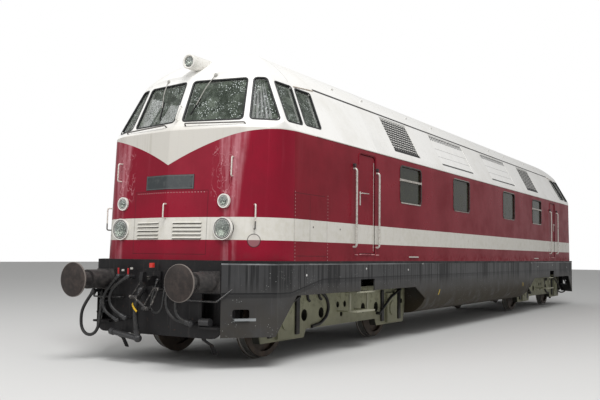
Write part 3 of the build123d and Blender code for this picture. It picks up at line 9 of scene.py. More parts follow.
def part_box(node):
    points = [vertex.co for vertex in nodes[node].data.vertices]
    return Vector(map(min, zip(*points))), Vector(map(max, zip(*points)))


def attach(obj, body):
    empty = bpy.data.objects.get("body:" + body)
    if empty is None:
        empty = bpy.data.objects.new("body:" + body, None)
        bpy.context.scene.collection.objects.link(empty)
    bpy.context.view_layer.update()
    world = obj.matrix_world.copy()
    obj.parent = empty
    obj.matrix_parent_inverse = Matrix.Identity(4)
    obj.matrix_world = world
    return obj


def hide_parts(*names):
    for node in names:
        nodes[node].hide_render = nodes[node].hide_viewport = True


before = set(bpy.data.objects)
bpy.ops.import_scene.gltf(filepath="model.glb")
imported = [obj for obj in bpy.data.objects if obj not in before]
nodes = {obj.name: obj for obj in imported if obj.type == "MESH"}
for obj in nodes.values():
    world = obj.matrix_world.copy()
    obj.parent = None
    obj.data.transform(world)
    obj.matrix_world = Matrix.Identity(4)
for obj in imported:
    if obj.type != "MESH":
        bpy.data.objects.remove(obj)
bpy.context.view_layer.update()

# Camera
# It stands beside the track, low down ahead of the leading cab, as the photographer did. Place,
# turn and lens were worked out from the photograph of 600 by 400 pixels.


def added(name, data):
    """A new object in the scene."""
    piece = bpy.data.objects.new(name, data)
    bpy.context.scene.collection.objects.link(piece)
    return piece


rail_top = 0.030
photo_width = 600
camera_place = Vector((16.904, 6.824, 1.391 + rail_top))
camera_yaw, camera_pitch, camera_roll = np.radians((-149.051, 4.053, -0.663))
camera_focal_pixels = 782.68
level = np.cos(camera_pitch)
ahead = Vector((level * np.cos(camera_yaw), level * np.sin(camera_yaw), np.sin(camera_pitch)))
level_right = ahead.cross(Vector((0, 0, 1))).normalized()
level_down = ahead.cross(level_right)
image_right = np.cos(camera_roll) * level_right + np.sin(camera_roll) * level_down
image_down = np.cos(camera_roll) * level_down - np.sin(camera_roll) * level_right
camera_data = bpy.data.cameras.new("camera")
camera_data.sensor_width = 36
camera_data.lens = camera_focal_pixels * camera_data.sensor_width / photo_width
camera_data.clip_end = 300
camera = added("camera", camera_data)
camera.matrix_world = Matrix.Translation(camera_place) @ Matrix(
    (image_right, -image_down, -ahead)
).transposed().to_4x4()
bpy.context.scene.camera = camera
bpy.context.scene.view_settings.view_transform = "Standard"

# Hoses at the headstocks
# Black rubber hoses for the brakes, the heating and the electric line, clamped on cocks at the
# headstock and hung up by their heads. The other end of the locomotive has the same, turned round.


class Field:
    """A number that varies over a surface. Its operators add Math nodes to the material."""

    def __init__(self, finish, socket):
        self.finish = finish
        self.socket = socket

    def math(self, operation, *others):
        return self.finish.node("ShaderNodeMath", {"operation": operation}, self, *others)

    def __add__(self, other):
        return self.math("ADD", other)

    def __sub__(self, other):
        return self.math("SUBTRACT", other)

    def __rsub__(self, other):
        return self * -1 + other

    def __mul__(self, other):
        return self.math("MULTIPLY", other)

    def __truediv__(self, other):
        return self.math("DIVIDE", other)

    def __abs__(self):
        return self.math("ABSOLUTE")

    def __or__(self, other):
        return self.math("MAXIMUM", other)

    def __and__(self, other):
        return self.math("MINIMUM", other)

    __radd__ = __add__
    __rmul__ = __mul__


class Finish:
    """A material named for its piece, with the surface's place as the fields x, y and z. Colours
    are given in the 0 to 255 steps of a screen."""

    def __init__(self, name):
        self.material = bpy.data.materials.new(name)
        self.material.use_nodes = True
        self.tree = self.material.node_tree
        self.shader = self.tree.nodes["Principled BSDF"]
        place = self.tree.nodes.new("ShaderNodeTexCoord").outputs["Object"]
        parts = self.tree.nodes.new("ShaderNodeSeparateXYZ")
        self.tree.links.new(place, parts.inputs[0])
        self.place = Field(self, place)
        self.x, self.y, self.z = (Field(self, socket) for socket in parts.outputs)

    @property
    def height(self):
        """The height above the rail head."""
        return self.z - rail_top

    def node(self, kind, settings, *values, **named):
        """Adds one node: its settings first, then the values or links of its sockets."""
        made = self.tree.nodes.new(kind)
        for key, value in settings.items():
            setattr(made, key, value)
        for key, value in [*enumerate(values), *named.items()]:
            self.feed(made.inputs[key], value)
        return Field(self, made.outputs[0])

    def feed(self, socket, value):
        """Links a field to a socket or sets a value, a colour as linear light."""
        if isinstance(value, Field):
            self.tree.links.new(value.socket, socket)
        elif socket.type == "RGBA":
            parts = np.array(value) / 255
            light = np.where(parts < 0.04045, parts / 12.92, ((parts + 0.055) / 1.055) ** 2.4)
            socket.default_value = (*light.tolist(), 1)
        else:
            socket.default_value = value

    def noise(self, scale, detail=4.0, rough=0.5, stretch=(1, 1, 1)):
        """Cloudy noise about 0.5, drawn out along the axes by stretch."""
        shrink = tuple(1 / s for s in stretch)
        place = self.node("ShaderNodeVectorMath", {"operation": "MULTIPLY"}, self.place, shrink)
        return self.node(
            "ShaderNodeTexNoise", {}, Vector=place, Scale=scale, Detail=detail, Roughness=rough,
        )

    def bump(self, height, strength, distance):
        return self.node("ShaderNodeBump", {}, Strength=strength, Distance=distance, Height=height)

    def set(self, **inputs):
        """Sets the shader's own sockets, spaces in their names written as _."""
        for key, value in inputs.items():
            self.feed(self.shader.inputs[key.replace("_", " ")], value)


def step(value, low, high):
    """0 where the value is below low, 1 where it is above high, and a soft step between."""
    smooth = {"interpolation_type": "SMOOTHSTEP"}
    return value.finish.node("ShaderNodeMapRange", smooth, value, low, high, 0.0, 1.0)


def mix(factor, first, second):
    """Two colours mixed by a field."""
    mixed = factor.finish.tree.nodes.new("ShaderNodeMix")
    mixed.data_type = "RGBA"
    for number, value in ((0, factor), (6, first), (7, second)):
        factor.finish.feed(mixed.inputs[number], value)
    return Field(factor.finish, mixed.outputs[2])


def weathered(name, noise, limits, clean, dirty, roughness, relief=None, **others):
    """A finish from a clean colour to a dirty one by its wear, a noise stepped between two limits.
    Roughness is the first value plus the second times the wear. The relief is a noise's scale,
    detail and roughness, and the bump's strength and distance."""
    finish = Finish(name)
    finish.wear = step(finish.noise(*noise), *limits)
    least, more = roughness
    finish.set(Base_Color=mix(finish.wear, clean, dirty), Roughness=least + more * finish.wear, **others)
    if relief:
        finish.set(Normal=finish.bump(finish.noise(*relief[:3]), *relief[3:]))
    return finish


def dress(piece, finish, replaced=(), body="body"):
    """Gives a piece its material, the body that it rides on and the nodes that it stands for."""
    piece.data.materials.clear()
    piece.data.materials.append(finish.material)
    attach(piece, body)
    if replaced:
        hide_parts(*replaced)


rubber = weathered(
    "hose_rubber", (30, 5, 0.65), (0.45, 0.75), (27, 27, 28), (62, 60, 57), (0.5, 0.3),
    (160, 3, 0.5, 0.35, 0.001),
)
# Each hose: its name, the node that it is, its diameter and length, what its far end is, and its
# route in metres, with heights above the rail head
hoses = [
    ("brake_hose_outer", "brake_hoses", 0.042, 0.627, "fitting", [
        (9.235, -0.600, 1.050), (9.250, -0.655, 0.985), (9.265, -0.735, 0.895), (9.270, -0.785, 0.790),
        (9.270, -0.778, 0.680), (9.262, -0.715, 0.600), (9.240, -0.630, 0.555),
    ]),
    ("brake_hose_inner", "brake_hoses", 0.042, 0.657, "fitting", [
        (9.235, -0.440, 1.060), (9.255, -0.520, 1.010), (9.270, -0.610, 0.930), (9.275, -0.665, 0.825),
        (9.275, -0.650, 0.720), (9.265, -0.575, 0.640), (9.242, -0.478, 0.583),
    ]),
    ("main_hose_inner", "brake_hoses", 0.040, 0.718, "fitting", [
        (9.235, 0.432, 1.050), (9.245, 0.370, 0.985), (9.255, 0.300, 0.900), (9.260, 0.285, 0.790),
        (9.260, 0.310, 0.690), (9.245, 0.380, 0.600), (9.220, 0.470, 0.555), (9.204, 0.560, 0.538),
    ]),
    ("main_hose_outer", "brake_hoses", 0.040, 0.652, "fitting", [
        (9.235, 0.605, 1.045), (9.250, 0.550, 0.975), (9.262, 0.485, 0.890), (9.268, 0.450, 0.790),
        (9.268, 0.452, 0.700), (9.264, 0.480, 0.630), (9.258, 0.540, 0.580), (9.254, 0.648, 0.555),
    ]),
    ("loose_hose", "brake_hoses", 0.042, 1.125, "fitting", [
        (9.251, -1.018, 0.846), (9.262, -1.066, 0.780), (9.272, -1.113, 0.708), (9.280, -1.150, 0.632),
        (9.285, -1.163, 0.560), (9.285, -1.165, 0.488), (9.284, -1.158, 0.415), (9.283, -1.119, 0.345),
        (9.281, -1.050, 0.305), (9.278, -0.970, 0.305), (9.274, -0.901, 0.345), (9.268, -0.862, 0.415),
        (9.262, -0.854, 0.500), (9.252, -0.849, 0.590), (9.238, -0.845, 0.675),
    ]),
    ("jumper_cable", "jumper_hoses", 0.026, 0.784, "object", [
        (9.185, 0.052, 1.000), (9.215, 0.050, 0.935), (9.240, 0.046, 0.850), (9.256, 0.042, 0.770),
        (9.264, 0.044, 0.700), (9.268, 0.096, 0.646), (9.268, 0.170, 0.646), (9.264, 0.226, 0.700),
        (9.252, 0.230, 0.790), (9.232, 0.224, 0.880), (9.202, 0.216, 0.950),
    ]),
    ("heating_hose", "heating_hoses", 0.066, 0.468, "object", [
        (9.205, -0.205, 0.865), (9.240, -0.210, 0.790), (9.262, -0.213, 0.705), (9.275, -0.205, 0.600),
        (9.275, -0.190, 0.500), (9.268, -0.178, 0.410),
    ]),
]
hose_pieces = []
for end in (1, -1):
    for hose_name, node_name, diameter, length, far_end, route in hoses:
        line = bpy.data.curves.new(f"{hose_name}_{1 if end > 0 else 2}", "CURVE")
        line.dimensions = "3D"
        line.bevel_depth = diameter / 2
        line.bevel_resolution = 6
        line.resolution_u = 10
        line.use_fill_caps = True
        spline = line.splines.new("NURBS")
        spline.points.add(len(route) - 1)
        placed = np.ones((len(route), 4))
        placed[:, :3] = np.array(route) * (end, end, 1) + (0, 0, rail_top)
        spline.points.foreach_set("co", placed.ravel())
        spline.order_u = 3
        spline.use_endpoint_u = True
        hose = added(line.name, line)
        dress(hose, rubber, [node_name])
        hose_pieces.append((hose, diameter, length, far_end, placed[0, :3], placed[-1, :3]))

# Cocks and hose heads
# Cast fittings that the hoses are clamped on, one where each leaves the headstock and one at its
# free end. Black paint has worn off their edges.
cast = weathered(
    "cast_fittings", (55, 5, 0.7), (0.55, 0.7), (42, 42, 44), (96, 88, 80), (0.42, 0.25),
    (220, 4, 0.6, 0.4, 0.001),
)
cast.set(Metallic=0.5 * cast.wear)


def merged(node_name):
    """The points of a CAD node, each kept once, and its triangles as numbers of those points."""
    source = nodes[node_name].data
    points = np.empty(len(source.vertices) * 3)
    source.vertices.foreach_get("co", points)
    corners = np.empty(len(source.loops), int)
    source.loops.foreach_get("vertex_index", corners)
    points, index = np.unique(np.round(points.reshape(-1, 3), 6), axis=0, return_inverse=True)
    triangles = index.reshape(-1)[corners].reshape(-1, 3)
    return points, triangles[(np.diff(np.sort(triangles, axis=1), axis=1) > 0).all(axis=1)]


def shaded(mesh, angle):
    """A piece of that mesh, smooth but for its edges sharper than the angle in degrees."""
    mesh.polygons.foreach_set("use_smooth", np.ones(len(mesh.polygons), bool))
    mesh.set_sharp_from_angle(angle=np.radians(angle))
    return added(mesh.name, mesh)


def skinned(name, points, triangles):
    """A piece of those triangles."""
    used, index = np.unique(triangles, return_inverse=True)
    mesh = bpy.data.meshes.new(name)
    mesh.from_pydata(points[used], [], index.reshape(-1, 3))
    return shaded(mesh, 28)


def recoat(name, finish, slot, *members, body="body"):
    """Puts one smooth copy of those CAD nodes, with a finish, in their place."""
    points = []
    triangles = []
    for member in members:
        member_points, member_triangles = merged(member)
        triangles.append(member_triangles + sum(len(part) for part in points))
        points.append(member_points)
    dress(skinned(name, np.concatenate(points), np.concatenate(triangles)), finish, members, body)


# The solids of the fittings: each point takes the lowest number among its neighbours' until
# nothing changes, so that points with one number belong together
fitting_points, fitting_faces = merged("hose_fittings")
number = np.arange(len(fitting_points))
while True:
    lowest = number.copy()
    for corner in range(3):
        np.minimum.at(lowest, fitting_faces[:, corner], number[fitting_faces].min(axis=1))
    if (lowest == number).all():
        break
    number = lowest
solids = np.unique(number)
middles = np.array([fitting_points[number == solid].mean(axis=0) for solid in solids])
heads = []
for hose, diameter, length, far_end, start, end in hose_pieces:
    worn = []
    if far_end == "fitting":
        heads.append(solids[np.linalg.norm(middles - end, axis=1).argmin()])
        head_faces = fitting_faces[number[fitting_faces[:, 0]] == heads[-1]]
        worn.append(skinned(f"head_of_{hose.name}", fitting_points, head_faces))
        dress(worn[0], cast, ["hose_fittings"])
cocks = skinned("hose_cocks", fitting_points, fitting_faces[~np.isin(number[fitting_faces[:, 0]], heads)])
dress(cocks, cast, ["hose_fittings"])
handle_paint = weathered(
    "cock_handle_paint", (120, 4, 0.6), (0.58, 0.66), (168, 34, 38), (70, 40, 38), (0.4, 0.3),
)
recoat("cock_levers", handle_paint, "signal_red", "cock_handles")

# Screw couplings and drawhooks
# Forged links, a screw with its nut and a hook on each headstock, greased dark, with bright steel
# where the links rub.
forged = weathered(
    "forged_steel", (24, 5, 0.7), (0.5, 0.72), (62, 60, 60), (168, 163, 156), (0.5, -0.15),
    (140, 4, 0.6, 0.3, 0.001), Metallic=0.75,
)
recoat("screw_couplings", forged, "coupling_steel", "couplings")

# Painted skins of cabs, sides, doors and roof
# Sheet steel on a frame, rounded at the nose and shoulders, in dark red and white enamel. The red
# has faded to a chalky pink in streaks at the leading corners, and dust hangs in the seams.


def band(value, at, half, soft=0.0015):
    """1 where the value is within half of a place, and 0 elsewhere."""
    return 1 - step(abs(value - at), half, half + soft)


def within(value, low, high, soft=0.002):
    """1 between low and high, and 0 outside."""
    return band(value, (low + high) / 2, (high - low) / 2, soft)


def layered(base, *coats):
    """Colours laid over a base one after another, each given as (share, colour)."""
    for share, colour in coats:
        base = mix(share, base, colour)
    return base


def specks(finish, scale, size):
    """1 in round specks, at most one to each cell of the scale."""
    from_speck = finish.node("ShaderNodeTexVoronoi", {}, Vector=finish.place, Scale=scale)
    return 1 - step(from_speck, size * 0.6, size)


def distance(first, *others):
    """The root of the sum of the squares of those fields."""
    total = first * first
    for other in others:
        total = total + other * other
    return total.math("SQRT")


def nearest(across, up, places):
    """How far the nearest of those places (across, up) is."""
    near = distance(across - places[0][0], up - places[0][1])
    for x, z in places[1:]:
        near = near & distance(across - x, up - z)
    return near


paint = Finish("body_paint")
far_x = abs(paint.x)
far_y = abs(paint.y)
height = paint.height
on_side = step(far_y, 1.484, 1.489)
on_nose = step(far_x, 8.70, 8.74)
belt_edge = 3.027
bib_drop = 0.46
bib_half = 1.42
stripe = (1.579, 1.869)
spread = (1 - far_y / bib_half) | 0
bib = bib_drop * (0.36 * spread + 0.64 * spread * spread)
edge_ripple = 0.004 * (paint.noise(3, 2, 0.5) - 0.5)
white_top = step(height + bib + edge_ripple, belt_edge - 0.002, belt_edge + 0.002)
white_stripe = within(height + edge_ripple, *stripe)
white = white_top | white_stripe
cloud = paint.noise(1.3, 6, 0.6)
fine_cloud = paint.noise(11, 5, 0.6)
run = paint.noise(14, 4, 0.55, (1, 1, 16))
thin_run = paint.noise(60, 3, 0.6, (1, 1, 30))
# Hairline seams, doubled by rows of rivets: side plates, side hatch, nose hatch and roof
front_joint = 8.172
rear_joint = 7.292
low_plates = step(2.25 - height, 0, 0.01)
plate_seams = (band(far_x, front_joint, 0.003) | band(far_x, rear_joint, 0.003)) * low_plates
hatch_seams = band(far_x, 7.765, 0.004) * within(height, 1.58, 2.20)
hatch_seams = hatch_seams | band(height, 2.214, 0.004) * within(far_x, 7.36, 8.16)
hatch_seams = hatch_seams | band(height, 1.383, 0.004) * within(far_x, 7.30, 8.13)
side_seams = on_side * (plate_seams | hatch_seams)
hatch_half, hatch_low, hatch_high = 0.62, 1.39, 2.22
hatch_rims = band(height, hatch_high, 0.0035) | band(height, hatch_low, 0.0035)
nose_seams = band(far_y, hatch_half, 0.0035) * within(height, hatch_low, hatch_high)
nose_seams = nose_seams | within(far_y, 0, hatch_half) * hatch_rims
roof_seams = band(far_x, 7.74, 0.004) * step(height, 3.80, 3.82)
seams = side_seams | on_nose * nose_seams | roof_seams
rivet_pitch = 0.045
rivet_up = band((height / rivet_pitch).math("FRACT"), 0.5, 0.14, 0.08)
rivet_across = band((far_y / rivet_pitch).math("FRACT"), 0.5, 0.14, 0.08)
rivet_rows = band(far_x, front_joint - 0.022, 0.005) | band(far_x, rear_joint - 0.022, 0.005)
rivets = on_side * low_plates * rivet_rows * rivet_up
rivets = rivets | on_nose * within(far_y, 0, 0.60) * band(height, 2.200, 0.005) * rivet_across
# Painted shade in the mouths under the louvre hoods of the nose
hood_low = 1.595
hood_step = 0.050
hood_place = ((height - hood_low + 0.5 * hood_step) / hood_step).math("FRACT")
hood_mouth_shade = on_nose * within(far_y, 0.122, 0.543)
hood_mouth_shade = hood_mouth_shade * within(height, hood_low - 0.012, hood_low + 4 * hood_step)
hood_mouth_shade = hood_mouth_shade * within(hood_place, 0.30, 0.49, 0.03)
# Gutter: a dark rubber joint between the slope and the roof, behind the cab
gutter = within(height, 3.812, 3.843) * step(7.05 - far_x, 0, 0.01)
# Round cover plates on the leading corners
cover_radius = 0.084
cover = distance(far_x - 8.712, far_y - 1.240, height - 1.572)
cover_face = 1 - step(cover, cover_radius, cover_radius + 0.003)
cover_rim = band(cover, cover_radius, 0.005)
# Faded, chalky and peeling paint
chalk_half = 0.05 + 0.10 * ((height - 1.9) | 0)
chalk_band = (1 - step(abs(far_y - 0.94) - chalk_half, 0, 0.07)) * step(far_x, 8.3, 8.6)
chalk = chalk_band * step(run + 0.35 * paint.noise(5, 5, 0.65), 0.42, 0.92)
flakes = paint.noise(9, 3, 0.5, (1, 1, 1.7))
flaking = on_nose * within(far_y, 0.70, 0.98, 0.06) * within(height, 2.16, 2.72, 0.10)
peel = flaking * (band(flakes, 0.56, 0.006, 0.012) | band(flakes, 0.45, 0.004, 0.010) * 0.6)
faded = step(run, 0.56, 0.82)
dust = step(0.16 - abs(height - 1.36), 0, 0.2) * step(fine_cloud, 0.35, 0.7)
# The red behind the front joint is duller: partly another coat of paint, partly painted shade, as the
# flat sides face the light less than the nose and corners.
behind = step(front_joint - far_x, 0, 0.004)
# Painted light: the white above the belt behind the nose is lighter, as it leans back to the sky.
sky_lit_slope = step(height, 3.03, 3.05) * step(8.9 - far_x, 0, 0.3)
red_cloud = step(cloud, 0.30, 0.72)
red = layered(
    mix(red_cloud, (139, 24, 45), (123, 24, 41)),
    (behind, mix(red_cloud, (128, 25, 40), (114, 26, 37))),
    (faded * 0.10, (160, 78, 90)),
    (chalk * 0.62, (196, 138, 146)),
    (peel * 0.5, (206, 150, 156)),
    (dust * 0.18, (90, 58, 58)),
    (thin_run.math("GREATER_THAN", 0.66) * 0.16, (78, 20, 30)),
)
pale = layered(
    mix(sky_lit_slope, (212, 209, 202), (240, 239, 236)),
    (on_nose * within(height, 2.50, 3.02, 0.04) * 0.45, (178, 174, 168)),
    (step(cloud, 0.42, 0.8) * 0.35, (204, 200, 190)),
    (step(run, 0.54, 0.8) * (0.14 + 0.30 * on_nose), (168, 164, 152)),
    (white_stripe * 0.30 * step(fine_cloud, 0.4, 0.7), (186, 182, 164)),
    (specks(paint, 70, 0.16) * 0.4 * step(cloud, 0.4, 0.6), (150, 144, 130)),
)
coat = mix(white, red, pale)
coat = mix(cover_face * (0.8 - 0.7 * white_stripe), coat, (142, 104, 108))
# Two small dark holes in the stripe of each side
stripe_holes = nearest(far_x, height, [(7.676, 1.776), (6.898, 1.773)])
stripe_holes = on_side * (1 - step(stripe_holes, 0.010, 0.016))
# Painted shade on the reveals of the side windows and doorways
reveal_shade = within(far_y, 1.40, 1.505) * within(height, 2.25, 3.02) * (1 - step(far_x, 5.2, 5.22))
door_reveal_shade = within(far_y, 1.496, 1.505) * within(height, 1.36, 2.95) * within(far_x, 5.72, 6.46)
dark_lines_and_shade = (cover_rim * 0.7) | (seams * (0.30 + 0.4 * fine_cloud)) | hood_mouth_shade * 0.96 | gutter * 0.95
dark_lines_and_shade = dark_lines_and_shade | stripe_holes | (reveal_shade | door_reveal_shade) * 0.9
coat = mix(dark_lines_and_shade, coat, (32, 29, 30))
coat = mix(rivets * (0.2 + 0.4 * fine_cloud), coat, (214, 190, 188))
waves = paint.noise(2.2, 3, 0.5)
relief = waves * 0.004 + rivets * 0.0015 - seams * 0.0012 - hood_mouth_shade * 0.003 - peel * 0.0006
paint.set(
    Base_Color=coat,
    Roughness=0.26 + 0.2 * step(cloud, 0.3, 0.8) + 0.3 * (chalk | dust) + 0.2 * hood_mouth_shade,
    Normal=paint.bump(relief, 0.7, 1.0),
    Specular_IOR_Level=0.10,
)
for name, slot, *members in [
    ("cab_skins", "body_paint", "cab_shell_1", "cab_shell_2"),
    ("side_skins", "body_paint", "side_wall_left", "side_wall_right"),
    ("roof_skins", "roof_paint", "roof_hatches"),
    ("nose_louvre_hoods", "body_paint", "nose_louvres"),
]:
    recoat(name, paint, slot, *members)
quarter_names = ("1_left", "1_right", "2_left", "2_right")
for door in quarter_names:
    recoat(f"door_leaf_{door}", paint, "body_paint", f"door_{door}", body=f"door_{door}")

# Window rubbers of the cab
# Black rubber sections that hold the panes, pressed round the edge of each opening in the skin.
waist = 3.130
side_y = 1.507
slope_foot = 3.03
slope_lean = np.radians(27.24)


def on_face(points, foot, sweep, lean):
    """Places (y, height) on a leaning face: x is the foot less y and height times the two slopes."""
    y, z = np.asarray(points, float).T
    x = foot - y * np.tan(np.radians(sweep)) - (z - waist) * np.tan(np.radians(lean))
    return np.stack([x, y, z + rail_top], axis=-1)


def on_slope(points):
    """Places (x, height) on the sloping side, which leans in from the belt."""
    x, z = np.asarray(points, float).T
    y = side_y - (z - slope_foot) * np.tan(slope_lean)
    return np.stack([x, y, z + rail_top], axis=-1)


def square_to(sweep, lean):
    """The direction square to a leaning face: one forward, the tangent of its sweep to the side
    and that of its lean up, made one long."""
    out = np.array([1, np.tan(np.radians(sweep)), np.tan(np.radians(lean))])
    return out / np.linalg.norm(out)


def eased(before, corners, after, radius, steps):
    """Parabolas round the corners, each between points at a distance on both sides. With the share
    s run, they weigh start, corner and end by (1 - s) squared, 2 s (1 - s) and s squared."""
    back = before - corners
    forth = after - corners
    back /= np.linalg.norm(back, axis=1)[:, None]
    forth /= np.linalg.norm(forth, axis=1)[:, None]
    s = np.linspace(0, 1, steps)[None, :, None]
    start = (corners + radius * back)[:, None]
    end = (corners + radius * forth)[:, None]
    curve = (1 - s) ** 2 * start + 2 * s * (1 - s) * corners[:, None] + s ** 2 * end
    return curve.reshape(-1, corners.shape[1])


def rounded(corners, radius):
    """A closed outline with its corners eased."""
    corners = np.asarray(corners, float)
    return eased(np.roll(corners, 1, axis=0), corners, np.roll(corners, -1, axis=0), radius, 7)


def carried(path, profile, up, closed=False):
    """A profile (sideways, up) carried along a path: each point of the path plus sideways times the
    cross product of its direction and up, plus up times the line square to both."""
    path = np.asarray(path, float)
    profile = np.asarray(profile, float)
    if closed:
        along = np.roll(path, -1, axis=0) - np.roll(path, 1, axis=0)
    else:
        along = np.gradient(path, axis=0)
    along /= np.linalg.norm(along, axis=1)[:, None]
    side = np.cross(along, np.broadcast_to(np.asarray(up, float), path.shape))
    side /= np.linalg.norm(side, axis=1)[:, None]
    rise = np.cross(side, along)
    return path[:, None] + side[:, None] * profile[None, :, :1] + rise[:, None] * profile[None, :, 1:]


def surface(name, *grids, angle=40):
    """One mesh of several grids of points, each given with (rows close, columns close, ends capped).
    Neighbours in the grid share a face, and a capped grid has its first and last row filled."""
    vertices = []
    faces = []
    start = 0
    for points, rows_close, columns_close, capped in grids:
        rows, columns = points.shape[:2]
        index = np.arange(rows * columns).reshape(rows, columns) + start
        start += rows * columns
        vertices.append(points.reshape(-1, 3))
        if capped:
            faces += [index[0].tolist(), index[-1].tolist()]
        if rows_close:
            index = np.vstack([index, index[:1]])
        if columns_close:
            index = np.hstack([index, index[:, :1]])
        quads = np.stack([index[:-1, :-1], index[:-1, 1:], index[1:, 1:], index[1:, :-1]], axis=-1)
        faces += quads.reshape(-1, 4).tolist()
    mesh = bpy.data.meshes.new(name)
    mesh.from_pydata(np.concatenate(vertices), [], faces)
    shape = bmesh.new()
    shape.from_mesh(mesh)
    bmesh.ops.remove_doubles(shape, verts=shape.verts, dist=0.00001)
    bmesh.ops.recalc_face_normals(shape, faces=shape.faces)
    shape.to_mesh(mesh)
    shape.free()
    return shaded(mesh, angle)


def tubes(points, turns, capped=True, rows_close=False):
    """A grid in each of those turns, its columns closed to a tube, as surface() takes it."""
    return [(points * turn, rows_close, True, capped) for turn in turns]


# Each face: its foot at the middle line, and its sweep and lean in degrees
screen_face = (8.794, 12.42, 23.35)
corner_face = (8.999, 23.3, 24.8)
screen_out = square_to(*screen_face[1:])
corner_out = square_to(*corner_face[1:])
slope_out = np.array([0, np.cos(slope_lean), np.sin(slope_lean)])
corner_pane = on_face([(1.029, 3.178), (1.400, 3.152), (1.082, 3.770), (0.928, 3.776)], *corner_face)
panes = [
    (on_face([(0.072, 3.180), (0.930, 3.176), (0.838, 3.776), (0.065, 3.768)], *screen_face), screen_out),
    (corner_pane, corner_out),
    (on_slope([(8.272, 3.152), (7.880, 3.158), (7.712, 3.742), (8.142, 3.738)]), slope_out),
    (on_slope([(7.788, 3.170), (7.352, 3.174), (7.196, 3.736), (7.628, 3.732)]), slope_out),
]
both_ends = [np.array([end, end, 1]) for end in (1, -1)]
four_quarters = [np.array([end, side, 1]) for end in (1, -1) for side in (1, -1)]
rubber_section = np.array([
    (-0.007, -0.026), (-0.007, 0.003), (-0.002, 0.007), (0.011, 0.007), (0.016, 0.001), (0.0, -0.004),
])
pane_corner = 0.050
rubbers = []
for pane, out in panes:
    ring = carried(rounded(pane, pane_corner), rubber_section, out, closed=True)
    reach = np.linalg.norm(ring - pane.mean(axis=0), axis=2).mean(axis=0)
    # The section's lip has to lie outside the opening, also where the corners run the other way
    if reach[4] < reach[0]:
        ring = carried(rounded(pane, pane_corner), rubber_section * (-1, 1), out, closed=True)
    rubbers += tubes(ring, four_quarters, capped=False, rows_close=True)
seal = weathered("window_rubber", (40, 4, 0.6), (0.5, 0.8), (30, 31, 32), (72, 72, 70), (0.55, 0.2))
dress(surface("window_rubbers", *rubbers), seal)

# Panes of cab and sides
# Safety glass, greenish, behind the rubbers. Years of rain have left specks and grey film on it.
glass = Finish("cab_window_glass")
film = step(glass.noise(6, 7, 0.72), 0.40, 0.70)
spots = specks(glass, 34, 0.32) * step(glass.noise(5, 5, 0.65), 0.44, 0.54)
spots = spots | specks(glass, 75, 0.26) * step(glass.noise(8, 5, 0.65), 0.50, 0.60)
clear = mix(film, (84, 94, 83), (120, 130, 117))
glass.set(
    Base_Color=mix(spots * 0.85, clear, (210, 217, 215)),
    Roughness=0.06 + 0.35 * (film * 0.4 | spots),
    Alpha=0.22 + (0.26 * film | 0.7 * spots),
    IOR=1.45,
    Specular_IOR_Level=0.6,
)
side_glass = weathered(
    "side_window_glass", (5, 6, 0.7), (0.35, 0.75), (36, 39, 26), (56, 59, 40), (0.10, 0.25),
    Transmission_Weight=0.25, IOR=1.45, Specular_IOR_Level=0.4,
)
for member, finish in (("cab_glass", glass), ("side_window_glass", side_glass)):
    nodes[member].data.materials.clear()
    nodes[member].data.materials.append(finish.material)

# Windscreen wipers
# A painted steel arm from a small motor in the brow, with a rubber blade that rests on the pane.


def round_section(radius, count=10):
    """Points of a circle: radius times the cosine and the sine of equal steps."""
    turn = np.linspace(0, 2 * np.pi, count, endpoint=False)
    return np.stack([radius * np.cos(turn), radius * np.sin(turn)], axis=-1)


def bent(points, radius):
    """An open line with its corners eased."""
    points = np.asarray(points, float)
    curve = eased(points[:-2], points[1:-1], points[2:], radius, 6)
    return np.concatenate([points[:1], curve, points[-1:]])


def turned(profile, place, axis):
    """A profile (radius, along) turned round an axis: place plus along times the axis, plus radius
    times a direction that goes round it."""
    axis = np.asarray(axis, float) / np.linalg.norm(axis)
    first = np.cross(axis, (0.0, 1.0, 0.0) if abs(axis[1]) < 0.9 else (1.0, 0.0, 0.0))
    first /= np.linalg.norm(first)
    second = np.cross(axis, first)
    turn = np.linspace(0, 2 * np.pi, 32, endpoint=False)[None, :, None]
    radius, along = np.asarray(profile, float).T[:, :, None, None]
    return np.asarray(place) + along * axis + radius * (np.cos(turn) * first + np.sin(turn) * second)


arms = []
blades = []
arm_section = round_section(0.006, 8)
motor_profile = [(0, -0.05), (0.030, -0.05), (0.028, 0.020), (0.020, 0.034), (0, 0.038)]
blade_section = [
    (-0.004, -0.012), (0.004, -0.012), (0.006, 0.006), (0.003, 0.012), (-0.003, 0.012), (-0.006, 0.006),
]
# Each wiper: the motor's place, the arm's end and the blade's two ends on the pane, as (y, height)
for side, *wiper in [
    (1, (0.360, 3.850), (0.216, 3.400), (0.245, 3.500), (0.168, 3.262)),
    (-1, (0.500, 3.850), (0.425, 3.420), (0.440, 3.520), (0.405, 3.250)),
]:
    flips = [end * (1, side, 1) for end in both_ends]
    knob, arm_end, high, low = on_face(wiper, *screen_face)
    knob = knob - 0.012 * screen_out
    arm_path = bent([
        knob + 0.030 * screen_out, 0.5 * (knob + arm_end) + 0.050 * screen_out,
        arm_end + 0.022 * screen_out,
    ], 0.06)
    arms += tubes(carried(arm_path, arm_section, (0, 1, 0)), flips)
    arms += tubes(turned(motor_profile, knob, screen_out), flips, capped=False)
    blade_path = np.linspace(high, low, 6) + 0.010 * screen_out
    blades += tubes(carried(blade_path, blade_section, screen_out), flips)
wiper_paint = weathered(
    "wiper_paint", (90, 4, 0.6), (0.55, 0.7), (172, 170, 164), (96, 92, 86), (0.35, 0.3), Metallic=0.3,
)
dress(surface("wiper_arms", *arms), wiper_paint)
dress(surface("wiper_blades", *blades), rubber)

